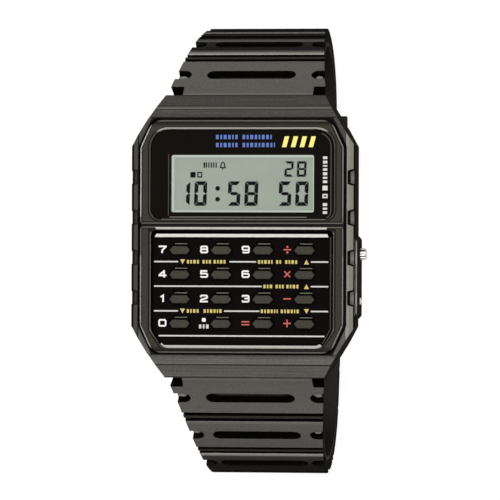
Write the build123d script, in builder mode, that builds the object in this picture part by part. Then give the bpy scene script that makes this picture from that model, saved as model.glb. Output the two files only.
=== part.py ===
from build123d import *
from math import cos, radians, sin
import os

# Millimetres. Z = 0 is the outer face of the case back and +Z looks out of the dial.
# +Y points to twelve o'clock and +X to the side buttons.

# Case body
case_length = 43.2
case_width = 34.4
case_height = 8.2
case_rise = 0.3
hood_end_width = 24.6
straight_length = 27.4
hood_start_drop = 0.8
hood_ridge_drop = 1.5
hood_ridge_inset = 1.94
hood_end_drop = 3.32
hood_end_thickness = 0.7
lug_corner = 1.3
side_top_drop = 0.4
strip_width = 1.25
strip_drop = 1.05
foot_inset = 1.6
foot_height = 1.9
case_edge_radius = 0.18
wall_behind_strap = 1.7
notch_pitch = 6.12
notch_count = 4
notch_shift = 0.2
notch_reach = 0.95
notch_depth = 1.75
notch_inner_width = 1.86
notch_outer_width = 2.45
guard_proud = 0.4
guard_length = 12.6
guard_middle = -6.2
guard_foot = 1.3
guard_top = 5.9
guard_end_slope = 0.5

# Front frame
frame_width = 31.12
frame_length = 35.3
frame_depth = 1.3
frame_corner_across = 1.9
frame_corner_along = 4.1
frame_corner_radius = 2.2
frame_groove = 0.4
frame_edge = 0.2

# Upper window and keypad window in the front frame
window_width = 28.2
window_top = 16.6
window_foot = 2.54
window_top_radius = 2.7
window_foot_radius = 1.5
pad_width = 28.0
pad_top = -0.17
pad_foot = -16.9
pad_top_radius = 0.6
pad_corner_across = 1.8
pad_corner_along = 2.6
pad_corner_radius = 1.6
dividing_groove_width = 0.39
dividing_groove_depth = 0.35
dividing_groove_middle = 1.66
rebate_width = 0.32
rebate_depth = 0.3

# Glass and keypad panel
glass_thickness = 0.85
panel_thickness = 0.7
glass_clearance = 0.05
glass_edge = 0.08

# Keys
key_pitch_across = 6.39
key_pitch_along = 3.735
key_rows_middle = -7.5
key_length = 3.3
key_height = 1.74
key_flat_share = 0.62
key_corner_radius = 0.22
key_top_drop = 0.2
key_edge = 0.12
key_clearance = 0.08
key_flange_proud = 0.22
key_flange_thickness = 0.4
key_flange_clearance = 0.05
key_post_radius = 0.6
key_travel = 0.35
key_gap = 0.05
key_names = (
    ("key_7", "key_8", "key_9", "key_divide"),
    ("key_4", "key_5", "key_6", "key_multiply"),
    ("key_1", "key_2", "key_3", "key_minus"),
    ("key_0", "key_point", "key_equals", "key_plus"),
)

# Case back, gasket and screws
back_thickness = 0.9
back_width = 28.8
back_length = 33.8
back_corner = 1.7
back_clearance = 0.08
back_edge = 0.2
cavity_width = 25.8
cavity_length = 31.6
cavity_corner = 3.0
gasket_inset = 0.2
gasket_width = 0.5
gasket_height = 0.5
gasket_clearance = 0.03
screw_across = 25.2
screw_along = 30.4
screw_head_radius = 0.95
screw_head_height = 0.55
screw_radius = 0.5
screw_length = 2.6
screw_clearance = 0.03
screw_slot_width = 0.22
screw_slot_depth = 0.22
screw_sink = 0.05

# Module
board_base = 4.0
board_thickness = 0.6
board_clearance = 0.3
membrane_thickness = 0.4
membrane_lift = 0.03
membrane_top = -0.9
membrane_foot = -14.25
membrane_width = 22.2
dome_radius = 1.0
dome_top_radius = 0.7
module_base = 1.35
module_clearance = 0.15
module_floor_clearance = 0.05
cell_radius = 10.0
cell_thickness = 1.6
cell_base = 1.1
cell_clearance = 0.12
cell_middle = -4.6
clip_thickness = 0.12
clip_width = 5.0
clip_gap = 0.03
clip_overhang = 1.4
clip_leg = 1.3
display_width = 23.2
display_top = 13.2
display_foot = 2.9
display_thickness = 1.0
display_drop = 1.75
display_ledge = 1.0
reflector_thickness = 0.15
reflector_inset = 1.3
reflector_gap = 0.02
holder_wall = 1.0
holder_clearance = 0.08
holder_gap = 0.05
zebra_width = 0.7
zebra_inset = 1.6
chip_size = 5.2
chip_height = 0.7
chip_across = 4.2
chip_along = 9.6
crystal_radius = 0.7
crystal_length = 5.0
crystal_across = -5.6
capacitor_length = 2.0
capacitor_width = 1.2
capacitor_height = 0.75
parts_along = 12.6
parts_pocket_width = 18.6
parts_pocket_top = 14.3
parts_pocket_foot = 6.2
parts_pocket_depth = 1.0
piezo_radius = 3.9
piezo_thickness = 0.2
piezo_middle = 10.3
piezo_gap = 0.02
piezo_room = 0.3
contact_wire = 0.09
contact_radius = 0.55
contact_turns = 5
contact_clearance = 0.15
contact_along = 11.2
contact_gap = 0.03

# Side buttons
button_height = 3.0
mode_along = -2.63
adjust_along = -9.8
mode_radius = 0.92
mode_proud = 1.35
mode_travel = 0.6
mode_ribs = 3
mode_rib_depth = 0.12
mode_rib_width = 0.16
adjust_radius = 0.6
adjust_proud = 0.55
adjust_travel = 0.4
button_bore_clearance = 0.08
button_floor_depth = 1.3
button_spring_closed = 0.35
button_edge = 0.14
stem_radius = 0.4
stem_clearance = 0.04
stem_beyond_wall = 0.6
stem_neck_radius = 0.25
seal_outer_radius = 0.78
seal_width = 0.4
seal_from_floor = 1.5
seal_grip = 0.02
clip_ring_radius = 0.85
clip_ring_thickness = 0.2
clip_ring_gap = 0.05
clip_ring_clearance = 0.03
clip_ring_mouth = 0.36
spring_wire = 0.05
spring_turns = 4
spring_end_gap = 0.03
module_button_room = 1.25
module_button_reach = 1.7
adjust_scoop_radius = 1.0
adjust_scoop_depth = 0.3

# Spring bars
bar_from_end = 2.0
bar_height = 2.4
bar_radius = 0.75
bar_clearance = 0.05
bar_tip_radius = 0.4
bar_tip_clearance = 0.05
bar_tip_recess = 0.35
bar_end_gap = 0.1
bar_collar_width = 0.4
bar_collar_depth = 0.15

# Strap, both halves. Runs are lengths along the strap's middle, turns are degrees.
strap_width = 24.1
strap_end_width = 18.0
strap_end_drop = 30.0
strap_narrowing = 1.6
strap_level_shares = (0, 0.2, 0.4, 0.6, 0.8, 1)
strap_start_thickness = 3.2
strap_end_thickness = 2.3
strap_taper = 46.0
eye_radius = 1.55
neck_width = 20.2
neck_clearance = 0.15
neck_length = 3.4
first_run = 10.0
second_run = 18.0
slot_first = 6.6
cell_pitch = 9.6
slot_length = 13.7
slot_width = 2.1
slot_depth = 1.1
boundary_width = 2.0
boundary_depth = 0.6
boundary_ridge_width = 0.6
side_notch_reach = 1.9
side_notch_width = 2.2
knob_radius = 0.55
knob_height = 0.45
knob_inset = 0.75

# Twelve o'clock half, which carries the buckle
buckle_heading = -48.6
buckle_first_turn = -7.0
buckle_second_turn = -28.6
buckle_bend_radius = 12.0
buckle_bend_turn = -87.8
buckle_straight = 16.4
buckle_cells = 3
buckle_eye_radius = 1.5
tongue_slot_width = 2.7
tongue_slot_length = 4.2

# Six o'clock half, which ends in the tail
tail_heading = -54.2
tail_first_turn = 4.5
tail_second_turn = -19.6
tail_bend_radius = 14.0
tail_bend_turn = -96.7
tail_slope_run = 14.0
tail_ease_run = 6.0
tail_ease_turn = -14.0
tail_flat_run = 12.0
tail_rise_run = 6.0
tail_rise_turn = -8.0
tail_end_run = 5.6
tail_cells = 4
tail_tip_radius = 5.0
tail_hole_radius = 1.15
tail_hole_first = 47.0
tail_hole_pitch = 6.3
tail_hole_count = 7
tail_groove_width = 0.7
tail_groove_depth = 0.35

# Buckle and keepers
buckle_bar_radius = 0.6
buckle_bar_clearance = 0.05
buckle_bar_recess = 0.3
buckle_arm_gap = 0.3
buckle_arm_width = 1.9
buckle_arm_height = 2.2
buckle_frame_length = 8.6
buckle_far_bar = 2.2
buckle_corner_radius = 1.6
buckle_edge = 0.35
buckle_notch_depth = 0.35
tongue_width = 2.0
tongue_thickness = 0.8
tongue_eye_radius = 1.15
tongue_overhang = 0.3
tongue_gap = 0.03
keeper_wall = 1.1
keeper_length = 4.4
keeper_side_gap = 0.2
keeper_face_gap = 0.1
keeper_tail_room = 2.4
keeper_edge = 0.3
fixed_keeper_from_end = 5.9
loose_keeper_from_end = 12.0

overrun = 5.0

# Levels and places that follow from the sizes above
frame_base = case_height - frame_depth
glass_base = frame_base
panel_base = frame_base
panel_top = panel_base + panel_thickness
side_top = case_height - side_top_drop
strap_room = case_height - hood_end_drop - hood_end_thickness
strap_wall = cavity_length / 2 + wall_behind_strap
bar_along = case_length / 2 - bar_from_end
display_base = case_height - display_drop - display_thickness
board_top = board_base + board_thickness
key_top = case_height - key_top_drop
key_flange_top = panel_base - key_flange_clearance
key_flange_base = key_flange_top - key_flange_thickness
dome_top = key_flange_base - key_travel - key_gap - key_travel
case_wall = cavity_width / 2
button_floor = case_width / 2 - button_floor_depth
stem_end = case_wall - stem_beyond_wall
seal_along_stem = button_floor - seal_from_floor


def mirrored(points):
    """Closed outline from its right-hand half, listed from bottom to top."""
    return [*points, *[(-x, y) for x, y in reversed(points)]]


def cut_corners(width, length, across, along):
    """Rectangle outline whose corners are cut, by across on X and along on Y."""
    x, y = width / 2, length / 2
    return mirrored([(x - across, -y), (x, along - y), (x, y - along), (x - across, y)])


def outline(points, radius=0):
    """Face inside a closed outline, its corners rounded where a radius is given."""
    with BuildSketch(mode=Mode.PRIVATE) as face:
        with BuildLine():
            Polyline(*points, close=True)
        make_face()
        if radius > 0:
            fillet(face.vertices(), radius)
    return face.sketch


def frame_outline(clearance):
    """Outline of the front frame, grown by a clearance all round."""
    points = cut_corners(
        frame_width + 2 * clearance,
        frame_length + 2 * clearance,
        frame_corner_across + clearance / 2,
        frame_corner_along + clearance / 2,
    )
    return outline(points, frame_corner_radius)


def window_outline(clearance):
    """Outline of the upper window, drawn in by a clearance all round."""
    with BuildSketch(mode=Mode.PRIVATE) as face:
        with Locations((0, (window_top + window_foot) / 2)):
            Rectangle(window_width - 2 * clearance, window_top - window_foot - 2 * clearance)
        fillet(face.vertices().group_by(Axis.Y)[-1], window_top_radius - clearance)
        fillet(face.vertices().group_by(Axis.Y)[0], window_foot_radius - clearance)
    return face.sketch


def pad_outline(clearance):
    """Outline of the keypad window, drawn in by a clearance all round."""
    x, top, foot = pad_width / 2 - clearance, pad_top - clearance, pad_foot + clearance
    with BuildSketch(mode=Mode.PRIVATE) as face:
        with BuildLine():
            half = [(x - pad_corner_across, foot), (x, foot + pad_corner_along), (x, top)]
            Polyline(*mirrored(half), close=True)
        make_face()
        fillet(face.vertices().group_by(Axis.Y)[-1], pad_top_radius)
        fillet(face.vertices().group_by(Axis.Y)[:2], pad_corner_radius)
    return face.sketch


def key_outline(clearance):
    """Long hexagon of a key, grown by a clearance all round."""
    x, y = key_length / 2 + clearance, key_height / 2 + clearance
    flat = key_flat_share * key_length / 2
    points = mirrored([(flat, -y), (x, 0), (flat, y)])
    return outline(points, key_corner_radius + clearance)


def key_places():
    """Middle of each key, by name."""
    places = {}
    for row, names in enumerate(key_names):
        for column, name in enumerate(names):
            across = (column - (len(names) - 1) / 2) * key_pitch_across
            along = key_rows_middle + ((len(key_names) - 1) / 2 - row) * key_pitch_along
            places[name] = (across, along)
    return places


def finish_part(part, name):
    """Label a finished piece and write its STEP file."""
    part.label = name
    export_step(part, f"parts/{name}.step")


os.makedirs("parts", exist_ok=True)


# Case body
with BuildPart() as case_body:
    half_width, half_length = case_width / 2, case_length / 2
    half_end, half_straight = hood_end_width / 2, straight_length / 2
    plan = mirrored(
        [
            (half_end, -half_length),
            (half_width, -half_straight),
            (half_width, half_straight),
            (half_end, half_length),
        ]
    )
    with BuildSketch(Plane.XY.offset(case_rise)):
        add(outline(plan))
    extrude(amount=case_height - case_rise)
    hood_start = frame_length / 2 + frame_groove
    with BuildSketch(Plane.YZ):
        profile = mirrored(
            [
                (half_length - lug_corner, case_rise),
                (half_length, case_rise + lug_corner),
                (half_length, case_height - hood_end_drop),
                (half_length - hood_ridge_inset, case_height - hood_ridge_drop),
                (hood_start, case_height - hood_start_drop),
                (hood_start, side_top),
            ]
        )
        add(outline(profile))
    extrude(amount=case_width, both=True, mode=Mode.INTERSECT)
    strip_start = frame_width / 2 + frame_groove
    with BuildSketch(Plane.XZ):
        section = mirrored(
            [
                (half_width - foot_inset, case_rise),
                (half_width, case_rise + foot_height),
                (half_width, side_top - strip_drop),
                (strip_start + strip_width, side_top - strip_drop),
                (strip_start, side_top),
            ]
        )
        add(outline(section))
    extrude(amount=case_length, both=True, mode=Mode.INTERSECT)
    fillet(case_body.edges(), case_edge_radius)
    with BuildSketch(Plane.XY.offset(guard_foot)):
        reach = half_width + guard_proud
        with BuildLine():
            low, high = guard_middle - guard_length / 2, guard_middle + guard_length / 2
            Polyline(
                (case_wall, low),
                (half_width, low),
                (reach, low + guard_end_slope),
                (reach, high - guard_end_slope),
                (half_width, high),
                (case_wall, high),
                close=True,
            )
        make_face()
    extrude(amount=guard_top - guard_foot)
    with BuildSketch(Plane.XY.offset(case_height)):
        notch = [
            (half_width - notch_reach, -notch_inner_width / 2),
            (half_width + overrun, -notch_outer_width / 2),
            (half_width + overrun, notch_outer_width / 2),
            (half_width - notch_reach, notch_inner_width / 2),
        ]
        places = [
            (0, notch_pitch * (index - (notch_count - 1) / 2) - notch_shift)
            for index in range(notch_count)
        ]
        with Locations(*places):
            add(outline(notch))
            add(outline([(-x, y) for x, y in reversed(notch)]))
    extrude(amount=-notch_depth - side_top_drop, mode=Mode.SUBTRACT)
    with BuildSketch(Plane.XY.offset(frame_base)):
        add(frame_outline(frame_groove))
    extrude(amount=frame_depth, mode=Mode.SUBTRACT)
    with BuildSketch(Plane.XY):
        add(outline(cut_corners(cavity_width, cavity_length, cavity_corner, cavity_corner)))
    extrude(amount=case_height, mode=Mode.SUBTRACT)
    with BuildSketch(Plane.XY):
        add(
            outline(
                cut_corners(
                    back_width + 2 * back_clearance,
                    back_length + 2 * back_clearance,
                    back_corner,
                    back_corner,
                )
            )
        )
    extrude(amount=back_thickness, mode=Mode.SUBTRACT)
    with BuildSketch(Plane.XY.offset(back_thickness)):
        inner = gasket_inset - gasket_clearance
        outer = gasket_inset + gasket_width + gasket_clearance
        for reach, mode in ((outer, Mode.ADD), (inner, Mode.SUBTRACT)):
            add(
                outline(
                    cut_corners(
                        cavity_width + 2 * reach,
                        cavity_length + 2 * reach,
                        cavity_corner,
                        cavity_corner,
                    )
                ),
                mode=mode,
            )
    extrude(amount=gasket_height, mode=Mode.SUBTRACT)
    with BuildSketch(Plane.XY.offset(back_thickness)):
        with GridLocations(screw_across, screw_along, 2, 2):
            Circle(screw_radius + screw_clearance)
    extrude(amount=screw_length, mode=Mode.SUBTRACT)
    for end in (1, -1):
        with BuildSketch(Plane.XY):
            with Locations((0, end * (strap_wall + overrun / 2))):
                Rectangle(neck_width + 2 * neck_clearance, overrun)
        extrude(amount=strap_room, mode=Mode.SUBTRACT)
        with BuildSketch(Plane.YZ):
            with Locations((end * bar_along, bar_height)):
                Circle(bar_tip_radius + bar_tip_clearance)
        extrude(amount=case_width, both=True, mode=Mode.SUBTRACT)
    for along, radius in ((mode_along, mode_radius), (adjust_along, adjust_radius)):
        with BuildSketch(Plane.YZ.offset(button_floor)):
            with Locations((along, button_height)):
                Circle(radius + button_bore_clearance)
        extrude(amount=overrun, mode=Mode.SUBTRACT)
        with BuildSketch(Plane.YZ):
            with Locations((along, button_height)):
                Circle(stem_radius + stem_clearance)
        extrude(amount=button_floor, mode=Mode.SUBTRACT)
        with BuildSketch(Plane.YZ.offset(seal_along_stem)):
            with Locations((along, button_height)):
                Circle(seal_outer_radius + seal_grip)
        extrude(amount=seal_width, mode=Mode.SUBTRACT)
    with BuildSketch(Plane.YZ.offset(half_width + guard_proud)):
        with Locations((adjust_along, button_height)):
            Circle(adjust_scoop_radius)
    extrude(amount=-adjust_scoop_depth, mode=Mode.SUBTRACT)
finish_part(case_body.part, "case_body")


# Front frame with its two windows and the cross bar between them
with BuildPart() as front_frame:
    with BuildSketch(Plane.XY.offset(frame_base)):
        add(frame_outline(0))
    extrude(amount=frame_depth)
    fillet(front_frame.faces().sort_by(Axis.Z)[-1].edges(), frame_edge)
    with BuildSketch(Plane.XY.offset(frame_base)):
        add(window_outline(0))
        add(pad_outline(0))
    extrude(amount=frame_depth, mode=Mode.SUBTRACT)
    rims = front_frame.faces().sort_by(Axis.Z)[-1].inner_wires()
    chamfer(rims.edges(), length=rebate_depth, length2=rebate_width)
    with BuildSketch(Plane.XY.offset(case_height)):
        with Locations((0, dividing_groove_middle)):
            Rectangle(frame_width + overrun, dividing_groove_width)
    extrude(amount=-dividing_groove_depth, mode=Mode.SUBTRACT)
finish_part(front_frame.part, "front_frame")


# Glass over the display
with BuildPart() as display_glass:
    with BuildSketch(Plane.XY.offset(glass_base)):
        add(window_outline(glass_clearance))
    extrude(amount=glass_thickness)
    chamfer(display_glass.faces().sort_by(Axis.Z)[-1].edges(), glass_edge)
finish_part(display_glass.part, "display_glass")


# Keypad panel
with BuildPart() as keypad_panel:
    with BuildSketch(Plane.XY.offset(panel_base)):
        add(pad_outline(glass_clearance))
        with Locations(*key_places().values()):
            add(key_outline(key_clearance), mode=Mode.SUBTRACT)
    extrude(amount=panel_thickness)
finish_part(keypad_panel.part, "keypad_panel")


def make_key(name, place):
    """One key: a cap through the panel, a flange under it and a post over its dome."""
    with BuildPart() as key:
        with BuildSketch(Plane.XY.offset(key_flange_top)):
            with Locations(place):
                add(key_outline(0))
        extrude(amount=key_top - key_flange_top)
        fillet(key.faces().sort_by(Axis.Z)[-1].edges(), key_edge)
        with BuildSketch(Plane.XY.offset(key_flange_base)):
            with Locations(place):
                add(key_outline(key_flange_proud))
        extrude(amount=key_flange_thickness)
        with BuildSketch(Plane.XY.offset(key_flange_base - key_travel)):
            with Locations(place):
                Circle(key_post_radius)
        extrude(amount=key_travel)
    finish_part(key.part, name)


for key_name, key_place in key_places().items():
    make_key(key_name, key_place)


# Key membrane with a dome under every key
with BuildPart() as key_membrane:
    membrane_base = board_top + membrane_lift
    with BuildSketch(Plane.XY.offset(membrane_base)):
        with Locations((0, (membrane_top + membrane_foot) / 2)):
            Rectangle(membrane_width, membrane_top - membrane_foot)
    extrude(amount=membrane_thickness)
    for place in key_places().values():
        with BuildSketch(Plane.XY.offset(membrane_base + membrane_thickness)):
            with Locations(place):
                Circle(dome_radius)
        with BuildSketch(Plane.XY.offset(dome_top)):
            with Locations(place):
                Circle(dome_top_radius)
        loft()
finish_part(key_membrane.part, "key_membrane")


# Liquid crystal display: a front plate and a smaller rear plate
display_length = display_top - display_foot
display_middle = (display_top + display_foot) / 2
with BuildPart() as lcd_panel:
    with BuildSketch(Plane.XY.offset(display_base + display_thickness / 2)):
        with Locations((0, display_middle)):
            Rectangle(display_width, display_length)
    extrude(amount=display_thickness / 2)
    with BuildSketch(Plane.XY.offset(display_base)):
        with Locations((0, display_middle)):
            Rectangle(display_width, display_length - 2 * display_ledge)
    extrude(amount=display_thickness / 2)
finish_part(lcd_panel.part, "lcd_panel")

with BuildPart() as lcd_reflector:
    with BuildSketch(Plane.XY.offset(display_base - reflector_gap)):
        with Locations((0, display_middle)):
            Rectangle(display_width - reflector_inset, display_length - 2 * display_ledge)
    extrude(amount=-reflector_thickness)
finish_part(lcd_reflector.part, "lcd_reflector")

with BuildPart() as zebra_strips:
    zebra_across = display_width - 2 * zebra_inset
    zebra_spacing = display_length - display_ledge
    with BuildSketch(Plane.XY.offset(board_top)):
        with Locations((0, display_middle)):
            with GridLocations(0, zebra_spacing, 1, 2):
                Rectangle(zebra_across, zebra_width)
    extrude(amount=display_base + display_thickness / 2 - board_top)
finish_part(zebra_strips.part, "zebra_strips")

board_outline = cut_corners(
    cavity_width - 2 * board_clearance,
    cavity_length - 2 * board_clearance,
    cavity_corner,
    cavity_corner,
)
with BuildPart() as lcd_holder:
    holder_length = display_length + 2 * (holder_clearance + holder_wall)
    holder_across = display_width + 2 * (holder_clearance + holder_wall)
    with BuildSketch(Plane.XY.offset(board_top)):
        with Locations((0, display_middle)):
            Rectangle(holder_across, holder_length)
        add(outline(board_outline), mode=Mode.INTERSECT)
        with Locations((0, display_middle)):
            Rectangle(
                display_width + 2 * holder_clearance,
                display_length + 2 * holder_clearance,
                mode=Mode.SUBTRACT,
            )
    extrude(amount=glass_base - holder_gap - board_top)
    fillet(lcd_holder.edges().filter_by(Axis.Z), holder_wall / 3)
finish_part(lcd_holder.part, "lcd_holder")


# Circuit board and what is soldered under it
with BuildPart() as circuit_board:
    with BuildSketch(Plane.XY.offset(board_base)):
        add(outline(board_outline))
    extrude(amount=board_thickness)
finish_part(circuit_board.part, "circuit_board")

with BuildPart() as board_components:
    with BuildSketch(Plane.XY.offset(board_base)):
        with Locations((chip_across, chip_along)):
            Rectangle(chip_size, chip_size)
    extrude(amount=-chip_height)
    with BuildSketch(Plane.XY.offset(board_base)):
        with Locations((crystal_across, parts_along)):
            Rectangle(crystal_length, 2 * crystal_radius)
    extrude(amount=-crystal_radius)
    with BuildSketch(Plane.XY.offset(board_base)):
        with Locations((crystal_across, parts_along - 2 * capacitor_length)):
            with GridLocations(2 * capacitor_width, 0, 2, 1):
                Rectangle(capacitor_width, capacitor_length)
    extrude(amount=-capacitor_height)
finish_part(board_components.part, "board_components")


# Cell, its clip and the module frame that carries them
with BuildPart() as battery:
    with BuildSketch(Plane.XY.offset(cell_base)):
        with Locations((0, cell_middle)):
            Circle(cell_radius)
    extrude(amount=cell_thickness)
    fillet(battery.edges(), cell_thickness / 8)
finish_part(battery.part, "battery")

module_top = board_base - module_floor_clearance
cell_room = cell_radius + cell_clearance
clip_reach = 2 * (cell_radius + clip_overhang)
with BuildPart() as module_frame:
    with BuildSketch(Plane.XY.offset(module_base)):
        add(
            outline(
                cut_corners(
                    cavity_width - 2 * module_clearance,
                    cavity_length - 2 * module_clearance,
                    cavity_corner,
                    cavity_corner,
                )
            )
        )
    extrude(amount=module_top - module_base)
    with BuildSketch(Plane.XY):
        with Locations((0, cell_middle)):
            Circle(cell_room)
    extrude(amount=cell_base + cell_thickness + module_floor_clearance, mode=Mode.SUBTRACT)
    with BuildSketch(Plane.XY.offset(module_top)):
        with Locations((0, (parts_pocket_top + parts_pocket_foot) / 2)):
            Rectangle(parts_pocket_width, parts_pocket_top - parts_pocket_foot)
    extrude(amount=-parts_pocket_depth, mode=Mode.SUBTRACT)
    with BuildSketch(Plane.XY):
        with Locations((0, contact_along)):
            Circle(contact_radius + contact_wire + contact_clearance)
    extrude(amount=module_top, mode=Mode.SUBTRACT)
    with BuildSketch(Plane.XY):
        with Locations((0, piezo_middle)):
            Circle(piezo_radius + cell_clearance)
    extrude(amount=back_thickness + piezo_thickness + piezo_room, mode=Mode.SUBTRACT)
    for along in (mode_along, adjust_along):
        with BuildSketch(Plane.YZ.offset(case_wall)):
            with Locations((along, button_height)):
                Circle(module_button_room)
        extrude(amount=-module_button_reach, mode=Mode.SUBTRACT)
    with BuildSketch(Plane.XY.offset(module_base)):
        with Locations((0, cell_middle)):
            with GridLocations(clip_reach - clip_overhang / 2, 0, 2, 1):
                Rectangle(3 * clip_thickness, clip_width + 2 * cell_clearance)
    extrude(amount=clip_leg, mode=Mode.SUBTRACT)
finish_part(module_frame.part, "module_frame")

with BuildPart() as battery_clip:
    clip_top = cell_base - clip_gap
    leg_across = (clip_reach - clip_overhang / 2) / 2
    with BuildSketch(Plane.XZ.offset(-cell_middle)):
        half = leg_across + clip_thickness / 2
        inner = half - clip_thickness
        leg_top = module_base + clip_leg - cell_clearance
        add(
            outline(
                mirrored(
                    [
                        (half, clip_top - clip_thickness),
                        (half, leg_top),
                        (inner, leg_top),
                        (inner, clip_top),
                    ]
                )
            )
        )
    extrude(amount=clip_width / 2, both=True)
finish_part(battery_clip.part, "battery_clip")


# Case back, gasket and screws
with BuildPart() as case_back:
    with BuildSketch(Plane.XY):
        add(outline(cut_corners(back_width, back_length, back_corner, back_corner)))
    extrude(amount=back_thickness)
    chamfer(case_back.faces().sort_by(Axis.Z)[0].edges(), back_edge)
    with BuildSketch(Plane.XY):
        with GridLocations(screw_across, screw_along, 2, 2):
            Circle(screw_head_radius + screw_clearance)
    extrude(amount=screw_sink + screw_head_height + screw_clearance, mode=Mode.SUBTRACT)
    with BuildSketch(Plane.XY):
        with GridLocations(screw_across, screw_along, 2, 2):
            Circle(screw_radius + screw_clearance)
    extrude(amount=back_thickness, mode=Mode.SUBTRACT)
finish_part(case_back.part, "case_back")

with BuildPart() as case_back_gasket:
    with BuildSketch(Plane.XY.offset(back_thickness)):
        for reach, mode in (
            (gasket_inset + gasket_width, Mode.ADD),
            (gasket_inset, Mode.SUBTRACT),
        ):
            add(
                outline(
                    cut_corners(
                        cavity_width + 2 * reach,
                        cavity_length + 2 * reach,
                        cavity_corner,
                        cavity_corner,
                    )
                ),
                mode=mode,
            )
    extrude(amount=gasket_height - gasket_clearance)
finish_part(case_back_gasket.part, "case_back_gasket")

with BuildPart() as case_back_screws:
    with BuildSketch(Plane.XY.offset(screw_sink)):
        with GridLocations(screw_across, screw_along, 2, 2):
            Circle(screw_head_radius)
    extrude(amount=screw_head_height)
    with BuildSketch(Plane.XY.offset(screw_sink + screw_head_height)):
        with GridLocations(screw_across, screw_along, 2, 2):
            Circle(screw_radius)
    extrude(amount=screw_length)
    with BuildSketch(Plane.XY.offset(screw_sink)):
        with GridLocations(screw_across, screw_along, 2, 2):
            Rectangle(2 * screw_head_radius, screw_slot_width)
            Rectangle(screw_slot_width, 2 * screw_head_radius)
    extrude(amount=screw_slot_depth, mode=Mode.SUBTRACT)
finish_part(case_back_screws.part, "case_back_screws")


def coil(radius, wire, turns, height):
    """Wire wound up Z from its first turn's middle, as one unbroken tube."""
    with BuildPart(mode=Mode.PRIVATE) as spring:
        with BuildLine():
            path = Helix(pitch=height / turns, height=height, radius=radius)
        with BuildSketch(Plane(origin=path @ 0, z_dir=path % 0)):
            Circle(wire)
        sweep(path=path, is_frenet=True)
    return spring.part


# Piezo disc on the back and the spring that feeds it
with BuildPart() as piezo_disc:
    with BuildSketch(Plane.XY.offset(back_thickness + piezo_gap)):
        with Locations((0, piezo_middle)):
            Circle(piezo_radius)
    extrude(amount=piezo_thickness)
finish_part(piezo_disc.part, "piezo_disc")

with BuildPart() as piezo_contact_spring:
    spring_base = back_thickness + piezo_gap + piezo_thickness + contact_wire + contact_gap
    spring_height = board_base - contact_wire - contact_gap - spring_base
    with Locations((0, contact_along, spring_base)):
        add(coil(contact_radius, contact_wire, contact_turns, spring_height))
finish_part(piezo_contact_spring.part, "piezo_contact_spring")


def make_button(name, along, radius, proud, travel, ribs):
    """A side button with its return spring, seal ring and retaining clip."""
    cap_back = button_floor + travel + button_spring_closed
    reach = case_width / 2 + proud
    clip_face = case_wall - clip_ring_gap
    clip_end = clip_face - clip_ring_thickness
    with BuildPart() as button:
        with BuildSketch(Plane.YZ.offset(cap_back)):
            with Locations((along, button_height)):
                Circle(radius)
        extrude(amount=reach - cap_back)
        fillet(button.edges().group_by(Axis.X)[-1], button_edge)
        with BuildSketch(Plane.YZ.offset(stem_end)):
            with Locations((along, button_height)):
                Circle(stem_radius)
        extrude(amount=cap_back - stem_end)
        with BuildSketch(Plane.YZ.offset(clip_end - clip_ring_clearance)):
            with Locations((along, button_height)):
                Circle(stem_radius)
                Circle(stem_neck_radius, mode=Mode.SUBTRACT)
        extrude(amount=clip_ring_thickness + 2 * clip_ring_clearance, mode=Mode.SUBTRACT)
        if ribs:
            grooves = ribs + 1
            with BuildSketch(Plane.YZ.offset(case_width / 2 + guard_proud)):
                with Locations((along, button_height)):
                    with GridLocations(2 * radius / grooves, 0, ribs, 1):
                        Rectangle(mode_rib_width, 2 * radius)
                    Circle(radius - mode_rib_depth, mode=Mode.SUBTRACT)
            extrude(amount=reach, mode=Mode.SUBTRACT)
    finish_part(button.part, f"{name}_button")

    with BuildPart() as spring:
        bore = radius + button_bore_clearance
        middle = (stem_radius + bore) / 2
        length = cap_back - button_floor - 2 * (spring_wire + spring_end_gap)
        turned = Plane(
            origin=(button_floor + spring_wire + spring_end_gap, along, button_height),
            z_dir=(1, 0, 0),
        )
        wound = coil(middle, spring_wire, spring_turns, length)
        add(turned.location * wound)
    finish_part(spring.part, f"{name}_button_spring")

    with BuildPart() as seal:
        with BuildSketch(Plane.YZ.offset(seal_along_stem + seal_grip)):
            with Locations((along, button_height)):
                Circle(seal_outer_radius)
                Circle(stem_radius + seal_grip, mode=Mode.SUBTRACT)
        extrude(amount=seal_width - 2 * seal_grip)
    finish_part(seal.part, f"{name}_button_seal")

    with BuildPart() as clip:
        with BuildSketch(Plane.YZ.offset(clip_end)):
            with Locations((along, button_height)):
                Circle(clip_ring_radius)
                Circle(stem_neck_radius + clip_ring_clearance, mode=Mode.SUBTRACT)
            with Locations((along, button_height - clip_ring_radius / 2)):
                Rectangle(clip_ring_mouth, clip_ring_radius, mode=Mode.SUBTRACT)
        extrude(amount=clip_ring_thickness)
    finish_part(clip.part, f"{name}_button_clip")


make_button("mode", mode_along, mode_radius, mode_proud, mode_travel, mode_ribs)
make_button("adjust", adjust_along, adjust_radius, adjust_proud, adjust_travel, 0)


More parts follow.
